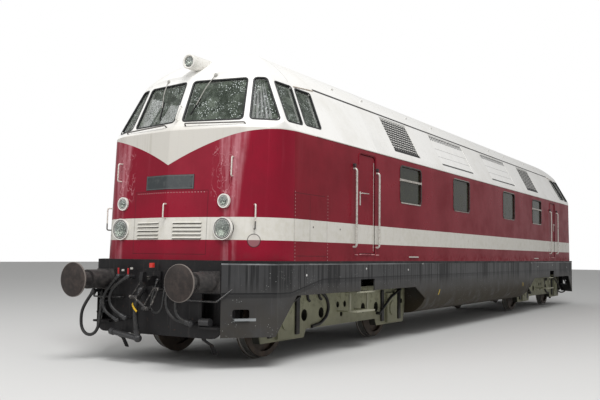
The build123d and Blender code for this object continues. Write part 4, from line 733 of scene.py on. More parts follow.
# Bracket on the windscreen's middle post
# A small white step iron between the two panes, for the cleaner's foot or hand.
post_foot, post_head = on_face([(0, 3.190), (0, 3.395)], *screen_face)
lean_out = square_to(0, screen_face[2])
iron_path = bent([
    post_foot - 0.030 * lean_out, post_foot + 0.045 * lean_out,
    post_head + 0.045 * lean_out, post_head - 0.030 * lean_out,
], 0.020)
irons = tubes(carried(iron_path, round_section(0.009), (0, 1, 0)), both_ends)
dress(surface("step_irons", *irons), paint)

# Curtain in the driver's corner window
# Light grey cloth gathered on a rail inside the cab, drawn over the front three quarters of the pane.
curtain_share = 0.74
curtain_folds = 4.5
curtain_depth = 0.100
fold_depth = 0.024
u, v = np.meshgrid(np.linspace(0, 1, 160), np.linspace(0, 1, 40), indexing="ij")
foot_front, foot_rear, head_rear, head_front = corner_pane
foot_line = foot_front + (foot_rear - foot_front) * (curtain_share * u)[..., None]
head_line = head_front + (head_rear - head_front) * (curtain_share * u)[..., None]
wave = np.sin(2 * np.pi * curtain_folds * u + 0.7 * np.sin(3 * v + 5 * u))
wave = wave + 0.35 * np.sin(2 * np.pi * 2.3 * curtain_folds * u + 2 * v)
hang = foot_line + (head_line - foot_line) * v[..., None]
hang = hang - (curtain_depth - fold_depth * wave)[..., None] * corner_out
cloth = Finish("curtain_cloth")
weave = cloth.node("ShaderNodeTexWave", {"bands_direction": "Z"}, Scale=180.0, Distortion=1.0)
sun = step(cloth.noise(8, 4, 0.6, (1, 1, 6)), 0.4, 0.75)
out_x, out_y, out_z = corner_out.tolist()
fold_place = cloth.x * out_x + cloth.y * out_y + cloth.z * out_z - float(foot_front @ corner_out)
fold_shade = 1 - step(fold_place, -0.118, -0.088)
cloth.set(
    Base_Color=mix(fold_shade * 0.85, mix(sun, (240, 238, 240), (190, 186, 194)), (66, 62, 70)),
    Roughness=0.9,
    Sheen_Weight=0.3,
    Normal=cloth.bump(weave, 0.3, 0.0006),
)
curtain = surface("corner_curtain", (hang, False, False, False), angle=180)
dress(curtain, cloth)
rail_path = bent([
    head_front - 0.05 * corner_out + (0, -0.03, 0),
    head_front - curtain_depth * corner_out + (0, 0.004, -0.01),
    head_rear - curtain_depth * corner_out + (0, 0, -0.01),
    head_rear - 0.05 * corner_out + (0, 0.03, 0),
], 0.012)
curtain_rail = surface("curtain_rail", *tubes(carried(rail_path, round_section(0.006), (0, 0, 1)), [1]))
dress(curtain_rail, wiper_paint)

# Number plates
# A cast plate screwed on each nose, dark with a light border, its face left blank.
nose_foot_x = 9.0
nose_sweep, nose_lean = np.radians((8.6, 2.67))
nose_foot = 1.316


def on_nose_face(points):
    """Places (y, height) on the nose, whose foot is at the body's bottom edge."""
    y, z = np.asarray(points, float).T
    x = nose_foot_x - y * np.tan(nose_sweep) - (z - nose_foot) * np.tan(nose_lean)
    return np.stack([x, y, z + rail_top], axis=-1)


plate_half = 0.406
plate_foot = 2.243
plate_head = 2.435
stations = np.linspace(-plate_half, plate_half, 21)
plate = np.stack([
    on_nose_face(np.column_stack([abs(stations), np.full(21, z)])) * (1, 0, 1) + (dx, 0, 0) for dx, z in (
        (-0.006, plate_foot), (0.006, plate_foot), (0.009, plate_foot + 0.003),
        (0.009, plate_head - 0.003), (0.006, plate_head), (-0.006, plate_head),
    )
], axis=1)
plate[:, :, 1] = stations[:, None]
plates = tubes(plate, both_ends)
screw_profile = [(0.012, 0.006), (0.012, 0.011), (0.008, 0.013), (0, 0.0135)]
for y in (-0.37, 0.37):
    for z in (2.275, 2.403):
        seat = on_nose_face([(abs(y), z)])[0] * (1, np.sign(y), 1)
        plates += tubes(turned(screw_profile, seat, (1, 0, 0)), both_ends, capped=False)
plate_paint = Finish("plate_paint")
plate_y = abs(plate_paint.y)
plate_z = plate_paint.height
plate_cloud = step(plate_paint.noise(14, 5, 0.6), 0.45, 0.75)
border = band(plate_z, plate_foot + 0.012, 0.003) | band(plate_z, plate_head - 0.012, 0.003)
border = border * step(plate_half - 0.010 - plate_y, 0, 0.002) | band(plate_y, plate_half - 0.012, 0.003)
plate_paint.set(
    Base_Color=mix(border * 0.10, mix(plate_cloud, (44, 50, 52), (66, 70, 70)), (200, 200, 196)),
    Roughness=0.35 + 0.2 * plate_cloud,
)
dress(surface("number_plates", *plates, angle=30), plate_paint)

# Head and marker lamps
# Pressed rims around silvered bowls, each behind a bowed lens. The two big ones light the line,
# the small ones above them mark the train's end, and one more stands on the brow.
rim_paint = Finish("lamp_rims")
rim_y = abs(rim_paint.y)
rim_z = rim_paint.height
big_lamp = (0.873, 1.723)
small_lamp = (0.865, 2.076)
from_big = distance(rim_y - big_lamp[0], rim_z - big_lamp[1])
from_small = distance(rim_y - small_lamp[0], rim_z - small_lamp[1])
rim_dark = band(from_big, 0.126, 0.006) | band(from_small, 0.070, 0.004)
rim_dark = rim_dark | (1 - step(from_big, 0.112, 0.116)) | (1 - step(from_small, 0.058, 0.062))
rim_dark = rim_dark * step(abs(rim_paint.x), 8.80, 8.81)
rim_grime = step(rim_paint.noise(50, 4, 0.6), 0.5, 0.75)
rim_paint.set(
    Base_Color=mix(rim_dark * 0.92, mix(rim_grime, (226, 224, 218), (178, 172, 160)), (26, 28, 30)),
    Roughness=0.35 + 0.25 * rim_grime,
)
recoat("lamp_rims", rim_paint, "lamp_rim", "headlamps")
recoat("brow_lamp_cases", rim_paint, "lamp_rim", "roof_lamps")
forward = (1, 0, 0)
brow_place = np.array((8.560, 0, 4.050 + rail_top))
brow_ring = turned([
    (0.074, -0.022), (0.098, -0.020), (0.104, -0.008), (0.102, 0.004), (0.092, 0.009), (0.080, 0.004),
    (0.074, -0.008), (0.074, -0.022),
], brow_place, forward)
dress(surface("brow_lamp_rims", *tubes(brow_ring, both_ends, capped=False)), rim_paint)


def dished(radius, foot, rise, count=9):
    """A profile from the middle out: the foot plus the rise times the square of the share."""
    share = np.linspace(0, 1, count)
    return np.column_stack([radius * share, foot + rise * share ** 2])


bowls = []
lenses = []
bulb = [(0, 0.004), (0.012, 0.0), (0.016, -0.012), (0.010, -0.026)]
lens_thick = 0.003
bowl_thick = 0.0015
big_place = np.array((8.896, *big_lamp)) + (0, 0, rail_top)
small_place = np.array((8.872, *small_lamp)) + (0, 0, rail_top)
# Each lamp: its middle, the radius of its bowl and of its lens, how far the lens bows and lies back,
# and the turns that repeat it
for place, bowl_radius, lens_radius, bow, back, turns in [
    (big_place, 0.113, 0.113, 0.010, 0.006, four_quarters),
    (small_place, 0.059, 0.059, 0.010, 0.006, four_quarters),
    (brow_place, 0.070, 0.071, 0.008, 0.010, both_ends),
]:
    bowl = dished(bowl_radius, -0.030, 0.026)
    bowl = np.vstack([bowl, bowl[::-1] - (0, bowl_thick)])
    lens = dished(lens_radius, bow - back, -bow)
    lens = np.vstack([lens, lens[::-1] + (0, lens_thick)])
    bowls += tubes(turned(bowl, place, forward), turns, capped=False)
    lenses += tubes(turned(lens, place, forward), turns, capped=False)
    if turns is four_quarters:
        bowls += tubes(turned(bulb, place - (0.004, 0, 0), forward), turns)
silver = weathered(
    "lamp_silver", (60, 4, 0.6), (0.45, 0.75), (176, 176, 166), (112, 111, 100), (0.14, 0.3),
    Metallic=1.0,
)
dress(surface("lamp_bowls", *bowls, angle=60), silver)
lens_glass = Finish("lamp_lens")
ribs = lens_glass.node("ShaderNodeTexWave", {"bands_direction": "Y"}, Scale=22.0, Distortion=0.0)
lens_glass.set(
    Base_Color=(218, 224, 222),
    Roughness=0.05 + 0.1 * lens_glass.noise(60, 4, 0.6),
    Transmission_Weight=0.92,
    IOR=1.45,
    Normal=lens_glass.bump(ribs, 0.5, 0.003),
)
dress(surface("lamp_lenses", *lenses, angle=60), lens_glass)

# Slope grilles and louvre panels
# Air intakes let into the sloping sides: a white sheet pressed with staggered slots in the outer
# pair, and white pressed sheets with slits in frames in the inner ones, with oily dust in their folds.
grille_paint = Finish("grille_paint")
opening_foot = 3.170


def up_slope(finish):
    """How far up the slope the surface is from the foot of its openings."""
    return (finish.height - opening_foot) * (1 / np.cos(slope_lean).item())


slope_way = up_slope(grille_paint)
row_pitch = 0.0535
slot_pitch = 0.096
row = slope_way / row_pitch
row_place = row.math("FRACT") - 0.5
column_place = (grille_paint.x / slot_pitch + row.math("FLOOR") * 0.5).math("FRACT") - 0.5
slots = 1 - step(row_place * row_place * 4.6 + column_place * column_place * 3.4, 0.80, 1.0)
slots = slots * (within(abs(grille_paint.x), 3.69, 4.77) * within(slope_way, 0.035, 0.665))
foot_shade = within(slope_way, -0.010, 0.058)
grille_dust = step(grille_paint.noise(7, 5, 0.6), 0.4, 0.8)
grille_white = mix(grille_dust * 0.4, (222, 221, 216), (168, 165, 156))
grille_paint.set(
    Base_Color=mix(slots | foot_shade, grille_white, (10, 10, 11)),
    Roughness=0.45 + 0.2 * grille_dust,
    Normal=grille_paint.bump(slots * -1, 0.8, 0.006),
)


def pressed_sheets(near, far, waves):
    """Thin sheets in the slope's openings: flat panels 6 mm deep with a cosine swell along them."""
    lower = on_slope([(near, 3.178), (far, 3.178)])
    upper = on_slope([(near, 3.782), (far, 3.782)])
    u, v = np.meshgrid(np.linspace(0, 1, 24), np.linspace(0, 1, 12), indexing="ij")
    face = (
        lower[0] + (lower[1] - lower[0]) * u[..., None] + (upper[0] - lower[0]) * v[..., None]
        - (0.006 + 0.002 * np.cos(2 * np.pi * waves * u))[..., None] * slope_out
    )
    shell = np.concatenate([face, (face - 0.003 * slope_out)[::-1]])
    return [(shell * quarter, True, False, False) for quarter in four_quarters]


dress(surface("grille_sheets", *pressed_sheets(3.668, 4.792, 6)), grille_paint)
recoat("grille_frames", grille_paint, "grille_dark", "slope_grilles")
louvre_paint = Finish("louvre_paint")
louvre_way = up_slope(louvre_paint)
slits = band((louvre_paint.x / 0.090).math("FRACT"), 0.5, 0.24, 0.06) * within(louvre_way, 0.575, 0.650)
slits = slits | within(louvre_way, 0.650, 0.672)
dots = band((louvre_paint.x / 0.060).math("FRACT"), 0.5, 0.18, 0.08)
dots = dots * (band(louvre_way, 0.20, 0.010) | band(louvre_way, 0.38, 0.010))
# The dark line along each panel's foot is partly painted shade, partly the dark joint there.
louvre_marks_and_shade = slits | dots * 0.7 | within(louvre_way, 0.0, 0.040)
louvre_marks_and_shade = louvre_marks_and_shade * within(abs(louvre_paint.x), 0.67, 2.51)
louvre_dust = step(louvre_paint.noise(5, 5, 0.6), 0.45, 0.8)
louvre_white = mix(louvre_dust * 0.3, (244, 243, 240), (214, 211, 202))
louvre_paint.set(
    Base_Color=mix(louvre_marks_and_shade * 0.95, louvre_white, (36, 36, 36)),
    Roughness=0.4 + 0.2 * louvre_dust,
)
dress(surface("louvre_sheets", *pressed_sheets(0.648, 2.532, 4)), louvre_paint)
recoat("louvre_panels", louvre_paint, "roof_paint", "slope_louvres")
recoat("roof_vent_grilles", louvre_paint, "roof_paint", "roof_vents")

# Drip rails and lifting lugs
# A thin rain strip above the rear side pane, and small steel lugs along the edges of the roof
# hatches, by which a crane lifts them off.
strip_section = [
    (-0.006, -0.002), (0.006, -0.002), (0.008, 0.008), (0.004, 0.012), (-0.004, 0.012), (-0.008, 0.006),
]
strip_line = on_slope([(7.650, 3.756), (7.350, 3.782), (7.050, 3.806)])
drip_paint = weathered(
    "drip_rail_paint", (22, 5, 0.65), (0.42, 0.66), (202, 194, 180), (134, 108, 88), (0.6, 0.2),
)
drip_rails = tubes(carried(strip_line, strip_section, slope_out), four_quarters)
dress(surface("drip_rails", *drip_rails), drip_paint)
lugs = []
roof_radius = 1.385
roof_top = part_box("roof_hatches")[1][2]
lug_angle = np.arcsin(0.93 / roof_radius)
lug_foot = (0, roof_radius * np.sin(lug_angle), roof_top - roof_radius * (1 - np.cos(lug_angle)))
lug_half = 0.035
lug_up = (0, np.sin(lug_angle), np.cos(lug_angle))
lug_section = [
    (-0.006, -0.01), (0.006, -0.01), (0.006, 0.022), (0.003, 0.028), (-0.003, 0.028), (-0.006, 0.022),
]
for x in (1.90, 3.20, 5.10, 6.15):
    lug_line = np.linspace((x - lug_half, 0, 0), (x + lug_half, 0, 0), 4) + lug_foot
    lugs += tubes(carried(lug_line, lug_section, lug_up), four_quarters)
dress(surface("lifting_lugs", *lugs), paint)

# Belt mouldings
# A half-round strip along each side, welded on where the slope begins, that throws the rain clear.
bead_section = [
    (-0.007, -0.003), (0.007, -0.003), (0.006, 0.004), (0.002, 0.007), (-0.002, 0.007), (-0.006, 0.004),
]
bead_reach = 7.60
bead_height = 3.034 + rail_top
bead_line = np.linspace((-bead_reach, side_y, bead_height), (bead_reach, side_y, bead_height), 40)
beads = tubes(carried(bead_line, bead_section, (0, 1, 0)), [(1, 1, 1), (1, -1, 1)])
dress(surface("belt_mouldings", *beads), paint)

# Doorways
# Over each door a bent drip strip; beside it dark clips for the handrails, and under it a worn
# sill. On each leaf a plain lever on its plate and a bright edge strip.
outward = (0, 1, 0)
drip_near = 5.717
drip_far = 6.319
drip_foot = 2.780 + rail_top
drip_head = 2.969 + rail_top
drip_path = bent([
    (drip_near, side_y, drip_foot), (drip_near, side_y, drip_head), (drip_far, side_y, drip_head),
    (drip_far, side_y, drip_foot),
], 0.085)
drip_section = [(-0.006, -0.003), (0.006, -0.003), (0.006, 0.006), (0.001, 0.009), (-0.004, 0.006)]
drips = tubes(carried(drip_path, drip_section, outward), four_quarters)
dress(surface("door_drips", *drips), paint)
clips = []
for x in (5.690, 6.480):
    clip_line = np.array([(x, y, 2.745 + rail_top) for y in (1.500, 1.528, 1.540)])
    clips += tubes(np.stack([
        clip_line + (dx, 0, dz) for dx, dz in (
            (-0.024, -0.018), (0.024, -0.018), (0.030, 0.018), (0.020, 0.030), (-0.020, 0.030),
            (-0.030, 0.018),
        )
    ], axis=1), four_quarters)
clip_paint = weathered("clip_paint", (60, 4, 0.6), (0.5, 0.7), (44, 32, 36), (92, 70, 70), (0.6, 0.1))
dress(surface("handrail_clips", *clips), clip_paint)
sills = []
sill_section = [(-0.009, -0.003), (0.009, -0.003), (0.007, 0.012), (-0.007, 0.012)]
for x0, x1, z in [(5.60, 5.70, 1.412), (5.76, 6.28, 1.418), (6.34, 6.44, 1.412)]:
    sill_line = np.linspace((x0, side_y, z + rail_top), (x1, side_y, z + rail_top), 3)
    sills += tubes(carried(sill_line, sill_section, outward), four_quarters)
sill_paint = weathered(
    "sill_paint", (34, 4, 0.6, (3, 1, 1)), (0.4, 0.62), (128, 34, 50), (206, 150, 150), (0.45, 0.2),
)
dress(surface("door_sills", *sills), sill_paint)
bright = weathered(
    "bright_metal", (46, 5, 0.65), (0.45, 0.75), (206, 203, 196), (132, 124, 112), (0.30, 0.3),
    (240, 3, 0.5, 0.2, 0.0006), Metallic=0.35,
)


def slab(outline, out, thick, bevel):
    """A plate on a surface: its outline, raised by its thickness, then drawn in for a bevel."""
    outline = np.asarray(outline, float)
    out = np.asarray(out, float)
    inward = outline.mean(axis=0) - outline
    inward /= np.linalg.norm(inward, axis=1)[:, None]
    raised = outline + thick * out
    return np.stack([outline - 0.004 * out, raised - bevel * out, raised + bevel * inward])


def frame_of(low, high):
    """The four corners of an upright rectangle between two (across, up) places."""
    return [low, (high[0], low[1]), high, (low[0], high[1])]


leaf_y = 1.493
lever_x = 6.235
lever_z = 2.346 + rail_top
lever = carried(bent([
    (lever_x, leaf_y - 0.004, lever_z), (lever_x, leaf_y + 0.040, lever_z),
    (6.060, leaf_y + 0.042, lever_z + 0.004), (6.010, leaf_y + 0.036, lever_z + 0.006),
], 0.014), round_section(0.0105) * (1.0, 0.75), (0, 0, 1))
backing = np.insert(rounded(frame_of((6.220, 2.162), (6.252, 2.375)), 0.012), 1, leaf_y, axis=1)
backing = slab(backing + (0, 0, rail_top), outward, 0.005, 0.002)
rose_profile = [(0, -0.004), (0.022, -0.004), (0.021, 0.006), (0.014, 0.010), (0, 0.011)]
rose = turned(rose_profile, (lever_x, leaf_y, lever_z), outward)
edge_line = np.array([(5.768, leaf_y, z + rail_top) for z in (1.470, 2.150, 2.860)])
edge_section = [(-0.006, -0.003), (0.006, -0.003), (0.005, 0.003), (-0.005, 0.003)]
edge_strip = carried(edge_line, edge_section, outward)
for flip, door in zip(four_quarters, quarter_names):
    furniture = tubes(lever, [flip]) + tubes(backing, [flip])
    furniture += tubes(rose, [flip], capped=False) + tubes(edge_strip, [flip])
    dress(surface(f"lever_{door}", *furniture), bright, body=f"door_{door}")

# Handrails, hinges, frames and grips
# Light painted tubes beside the doors, pressed frames round the side windows, and white grips on
# the nose. The rails under the windscreens and the shunter's bars are dark.
recoat("door_rails", bright, "light_metal", "door_handrails")
recoat("door_hinge_knuckles", bright, "light_metal", "door_hinges")
surround = Finish("window_surrounds")
surround_z = surround.height
surround_light = within(surround_z, 2.668, 2.712) * step(abs(surround.x), 3.55, 3.57)
surround_light = surround_light | (1 - step(surround_z, 2.306, 2.312))
surround_light = surround_light | step(surround_z, 2.938, 2.944) * 0.6
surround_wear = step(surround.noise(30, 5, 0.65), 0.40, 0.70)
surround_dark = mix(surround_wear * 0.6, (50, 46, 44), (112, 104, 98))
surround.set(
    Base_Color=mix(surround_light * (0.6 + 0.4 * surround_wear), surround_dark, (196, 190, 182)),
    Roughness=0.45 + 0.2 * surround_wear,
    Specular_IOR_Level=0.3,
)
recoat("side_window_frames", surround, "light_metal", "window_frames")
grip_paint = Finish("grip_paint")
grip_height = grip_paint.height
grip_wear = step(grip_paint.noise(70, 5, 0.65), 0.48, 0.66)
grip_dark = step(grip_height, 2.9, 2.95) * 0.85 | (1 - step(grip_height, 1.1, 1.15))
grip_dark = grip_dark | within(grip_height, 1.70, 1.815) * 0.85
grip_light = mix(grip_wear, (222, 218, 210), (160, 138, 128))
grip_black = mix(grip_wear, (40, 40, 42), (104, 100, 96))
grip_paint.set(
    Base_Color=mix(grip_dark, grip_light, grip_black),
    Roughness=0.38 + 0.25 * grip_wear,
    Metallic=0.2,
)
recoat("end_grips", grip_paint, "light_metal", "end_handrails")

# Side bars over the belly
# A short light bar on each side behind the door, a rest for the foot of a ladder.
rest_line = np.array([(x, side_y, 1.386 + rail_top) for x in (3.975, 4.170, 4.380)])
rest_section = [(-0.011, -0.004), (0.011, -0.004), (0.010, 0.010), (0.004, 0.016), (-0.010, 0.016)]
rests = tubes(carried(rest_line, rest_section, outward), four_quarters)
dress(surface("ladder_rests", *rests), bright)

# Skirts, belly and corner steps
# Grey painted sheet between the deck and the bogies, streaked black by the rain from the deck's
# edge, speckled with lime, and browned by brake dust near the rails.
skirt = Finish("skirt_paint")
skirt_x = abs(skirt.x)
skirt_z = skirt.height
skirt_y = abs(skirt.y)
drop = ((skirt_x - 7.38) / 0.845 | 0) & 1
seam_height = 1.065 - 0.158 * drop
skirt_seam = band(skirt_z - seam_height, 0, 0.008, 0.003)
# Painted shade in a band just under each lengthwise seam
shade_under_seam = within(skirt_z - seam_height, -0.045, 0.0, 0.02) * 0.45
panel_seam = band(skirt_x, 8.30, 0.004) | band(skirt_x, 5.25, 0.004) | band(skirt_x, 2.10, 0.004)
panel_seam = panel_seam * step(skirt_z, 0.9, 0.92)
skirt_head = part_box("side_skirts")[1][2]
# A painted highlight along the skirts' top edge, under the deck's edge, strongest towards the ends
deck_edge_highlight = step(skirt.z, skirt_head - 0.020, skirt_head - 0.014)
deck_edge_highlight = deck_edge_highlight * (0.35 + 0.65 * step(skirt.noise(2.2, 5, 0.7, (3, 1, 1)), 0.36, 0.60))
deck_edge_highlight = deck_edge_highlight * step(skirt_x, 2.0, 6.5)
run_places = skirt.noise(20, 4, 0.66, (1, 1, 60))
run_places = run_places + 0.10 * step(skirt.noise(0.9, 2, 0.5, (1, 1, 9)), 0.50, 0.62)
wet = within(skirt_x, 8.20, 8.62, 0.05) | within(skirt_x, 6.88, 7.32, 0.05)
run_foot = skirt_z - 0.25 * skirt.noise(18, 2, 0.5, (1, 1, 60))
runs = step(run_places + 0.10 * wet, 0.51, 0.59) * step(run_foot, 0.70, 0.95)
pale_runs = step(skirt.noise(30, 4, 0.6, (1, 1, 40)), 0.60, 0.72)
lime = specks(skirt, 26, 0.13) * step(skirt.noise(3, 4, 0.6), 0.45, 0.6)
brown = (1 - step(skirt_z, 0.50, 1.10)) * step(skirt.noise(4, 5, 0.6), 0.15, 0.55)
brown = brown * (1 - 0.6 * step(skirt_x, 7.8, 8.4))
markers = nearest(skirt_x, skirt_z, [(7.827, 1.128), (6.012, 1.201), (4.387, 1.168), (3.726, 1.273)])
marks = (1 - step(markers, 0.013, 0.019)) * step(skirt_y, 1.45, 1.46)
yellow = within(skirt_x + 0.5 * (skirt_z - 0.74), 2.895, 2.925) * within(skirt_z, 0.69, 0.785)
yellow = yellow * step(skirt_y, 1.2, 1.21)
step_edge = within(skirt_z, 0.572, 0.603, 0.004) * within(skirt_x, 8.77, 9.00)
grey = layered(
    mix(step(skirt.noise(1.7, 6, 0.6), 0.3, 0.75), (52, 52, 53), (65, 65, 66)),
    (pale_runs * 0.22, (112, 112, 110)),
    (runs * 0.85, (22, 22, 23)),
    (brown * 0.92, (56, 48, 32)),
    (lime * 0.8, (170, 172, 170)),
    (deck_edge_highlight * 0.85, (172, 174, 176)),
    (step_edge * 0.85, (150, 154, 156)),
    (marks, (226, 226, 222)),
    (yellow, (206, 176, 40)),
)
skirt_relief = skirt.noise(1.9, 3, 0.5) * 0.008 - skirt_seam * 0.002 + skirt.noise(70, 3, 0.5) * 0.0003
skirt.set(
    Base_Color=mix(skirt_seam * 0.96 | panel_seam * 0.5 | shade_under_seam, grey, (18, 18, 20)),
    Roughness=0.38 + 0.3 * (brown | lime) + 0.15 * runs,
    Specular_IOR_Level=0.3,
    Normal=skirt.bump(skirt_relief, 0.7, 1.0),
)
recoat("side_skirt_sheets", skirt, "skirt_grey", "side_skirts")
recoat("corner_skirt_sheets", skirt, "skirt_grey", "corner_skirts")
recoat("belly_sheet", skirt, "skirt_grey", "belly")

# Frame, headstocks and what stands on them
# Thick plates, black once, now dull with soot, oil and flaked patches of rust round the buffers.
frame_paint = Finish("frame_paint")
soot = step(frame_paint.noise(3.2, 6, 0.65), 0.35, 0.75)
rust = step(frame_paint.noise(17, 6, 0.7), 0.60, 0.70)
frame_runs = step(frame_paint.noise(26, 4, 0.6, (1, 1, 18)), 0.56, 0.7)
black = mix(soot, (14, 13, 15), (28, 26, 27))
black = mix(frame_runs * 0.35, black, (70, 67, 66))
frame_relief = frame_paint.noise(4, 4, 0.6) * 0.004 + rust * 0.0006 + specks(frame_paint, 9, 0.10) * 0.001
frame_paint.set(
    Base_Color=mix(rust * 0.55, black, (86, 62, 50)),
    Roughness=0.42 + 0.25 * (soot | rust),
    Specular_IOR_Level=0.3,
    Normal=frame_paint.bump(frame_relief, 0.7, 1.0),
)
recoat("headstock_plates", frame_paint, "frame_black", "headstocks")
recoat("frame_plates", frame_paint, "frame_black", "underframe")
recoat("hook_forgings", frame_paint, "frame_black", "drawhooks")

# Backs of the headstock pockets
# Black sheets across the frame behind each headstock, which close the pockets in it: painted shade, dark
# sheets put where the pockets would be in shade.
sheet_x = 8.935
sheet = np.insert(frame_of((0.30, 0.42), (1.12, 1.02)), 0, sheet_x, axis=1) + (0, 0, rail_top)
backs = tubes(slab(sheet, forward, 0.010, 0.002), four_quarters)
dress(surface("pocket_shade_sheets", *backs), frame_paint)

# Tags and plug on the headstocks
# Two small white tags beside the brake cocks, blank, a red plug under the deck's edge and a yellow
# tag tied round the heating hose.
tags = []
headstock_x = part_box("headstocks")[1][0]
for y, z, half_y, half_z, thick in [
    (-0.518, 1.170, 0.022, 0.013, 0.006), (-0.367, 1.195, 0.022, 0.013, 0.006),
    (-0.002, 1.243, 0.026, 0.030, 0.040),
]:
    outline = rounded(frame_of((y - half_y, z - half_z), (y + half_y, z + half_z)), 0.006)
    outline = np.insert(outline, 0, headstock_x, axis=1) + (0, 0, rail_top)
    tags += tubes(slab(outline, forward, thick, 0.002), both_ends)
tape = np.array([
    (9.277, -0.256, 0.749), (9.300, -0.225, 0.720), (9.314, -0.190, 0.690), (9.312, -0.147, 0.651),
]) + (0, 0, rail_top)
tape_section = [(-0.014, 0), (0.014, 0), (0.014, 0.002), (-0.014, 0.002)]
tags += tubes(carried(tape, tape_section, forward), both_ends)
tag_finish = Finish("tags")
tag_z = tag_finish.height
tag_dirt = step(tag_finish.noise(60, 5, 0.65), 0.45, 0.70)
tag_colour = mix(step(tag_z, 1.214, 1.216), (186, 184, 178), (206, 44, 34))
tag_colour = mix(1 - step(tag_z, 0.9, 1.0), tag_colour, (226, 182, 28))
tag_finish.set(
    Base_Color=mix(tag_dirt * 0.45, tag_colour, (88, 78, 66)),
    Roughness=0.4 + 0.3 * tag_dirt,
)
dress(surface("headstock_tags", *tags), tag_finish)

# Buffers
# Forged heads, domed a little, greased and scraped brown in the middle, with a painted highlight round
# the rim, on barrels bolted to the headstock.
buffer_finish = Finish("buffer_finish")
buffer_y = 0.875
buffer_height = 1.05
from_axis = distance(abs(buffer_finish.y) - buffer_y, buffer_finish.height - buffer_height)
on_head = step(abs(buffer_finish.x), 9.66, 9.665)
# Painted highlight round the rim of each head
rim_highlight = on_head * step(from_axis, 0.214, 0.224)
scrape = step(buffer_finish.noise(13, 6, 0.7), 0.38, 0.72)
head_brown = mix(scrape, (42, 36, 34), (67, 58, 54))
barrel = mix(scrape, (52, 50, 50), (82, 78, 76))
steel = mix(on_head, barrel, head_brown)
buffer_finish.set(
    Base_Color=mix(rim_highlight * 0.7, steel, (140, 132, 126)),
    Roughness=0.46 + 0.2 * scrape,
    Metallic=0.20,
    Specular_IOR_Level=0.35,
    Normal=buffer_finish.bump(buffer_finish.noise(34, 5, 0.65), 0.35, 0.002),
)
recoat("buffer_pairs", buffer_finish, "buffer_steel", "buffers")

# Bogie frames and axleboxes
# Welded frames in cream paint, grimed grey-brown below, with cast boxes of the same paint for the axles.
# Painted shade darkens them above, at their far ends and inside their outer faces, and their outermost
# parts are painted lighter, as lit.
cream = Finish("bogie_paint")
cream_z = cream.height
bogie_middle = 6.05
bogie_x = abs(abs(cream.x) - bogie_middle)
cream_cloud = step(cream.noise(2.4, 6, 0.6), 0.3, 0.8)
cream_grime = step(cream.noise(9, 6, 0.68), 0.46, 0.70)
low_grime = (1 - step(cream_z, 0.30, 0.75)) * 0.55
high_shade = step(cream_z, 0.80, 0.98) * 0.6
streaks = step(cream.noise(26, 4, 0.6, (1, 1, 14)), 0.55, 0.72)
# Painted shade inside the frames' outer faces
inner = 1 - step(abs(cream.y), 1.108, 1.114)
lead_shade = step(bogie_x, 2.25, 2.40) * 0.6
base = layered(
    mix(cream_cloud, (158, 158, 130), (132, 132, 108)),
    (cream_grime * 0.5 | low_grime, (76, 73, 58)),
    (streaks * 0.35, (92, 80, 62)),
    # Painted light: the outermost parts lighter, as lit
    (step(abs(cream.y), 1.30, 1.34) * 0.4, (190, 188, 174)),
)
cream.set(
    Base_Color=mix(high_shade | inner * 0.94 | lead_shade, base, (26, 25, 22)),
    Roughness=0.5 + 0.25 * cream_grime,
    Specular_IOR_Level=0.3,
    Normal=cream.bump(cream.noise(5, 4, 0.6) * 0.003 + cream.noise(90, 3, 0.5) * 0.0003, 0.7, 1.0),
)
for bogie in ("1", "2"):
    for name, member in [("frame_welding", "bogie_frame"), ("axlebox_castings", "axleboxes")]:
        recoat(f"{name}_{bogie}", cream, "bogie_paint", f"{member}_{bogie}", body=f"bogie_{bogie}")

# Guides, rods and brakes of the bogies
# Black steel: hornguides either side of each axlebox, pull rods, brake hangers and their shoes.
black_steel = Finish("running_gear")
oil = step(black_steel.noise(8, 6, 0.65), 0.4, 0.7)
gear_rust = step(black_steel.noise(30, 5, 0.7), 0.58, 0.68)
gear_colour = mix(oil, (27, 27, 28), (50, 47, 43))
black_steel.set(
    Base_Color=mix(gear_rust * 0.5, gear_colour, (94, 70, 52)),
    Roughness=0.38 + 0.3 * (oil | gear_rust),
    Metallic=0.1,
    Specular_IOR_Level=0.35,
    Normal=black_steel.bump(black_steel.noise(60, 5, 0.6), 0.35, 0.0015),
)
for bogie in ("1", "2"):
    for name, member in [("gear_bars", "bogie_gear"), ("brake_gear", "brakes")]:
        recoat(f"{name}_{bogie}", black_steel, "frame_black", f"{member}_{bogie}", body=f"bogie_{bogie}")

# Hornguide liners, pull rods and air pipes of the bogies
# Wide black wear plates bolted over the guides, the sleeves of the slanting rods, the air pipe that
# bows round the spring, and the hangers that carry it, all on the outside of the frames.
axle_reach = 1.75
outer_face = 1.120
rod_y = outer_face + 0.062
pipe_y = outer_face + 0.014
liner_half = 0.046
linings = []
for guide_x in [axle + side for axle in (axle_reach, -axle_reach) for side in (0.35, -0.35)]:
    outline = rounded(frame_of((guide_x - liner_half, 0.295), (guide_x + liner_half, 0.815)), 0.012)
    outline = np.insert(outline, 1, outer_face, axis=1) + (bogie_middle, 0, rail_top)
    linings.append(slab(outline, outward, 0.029, 0.003))
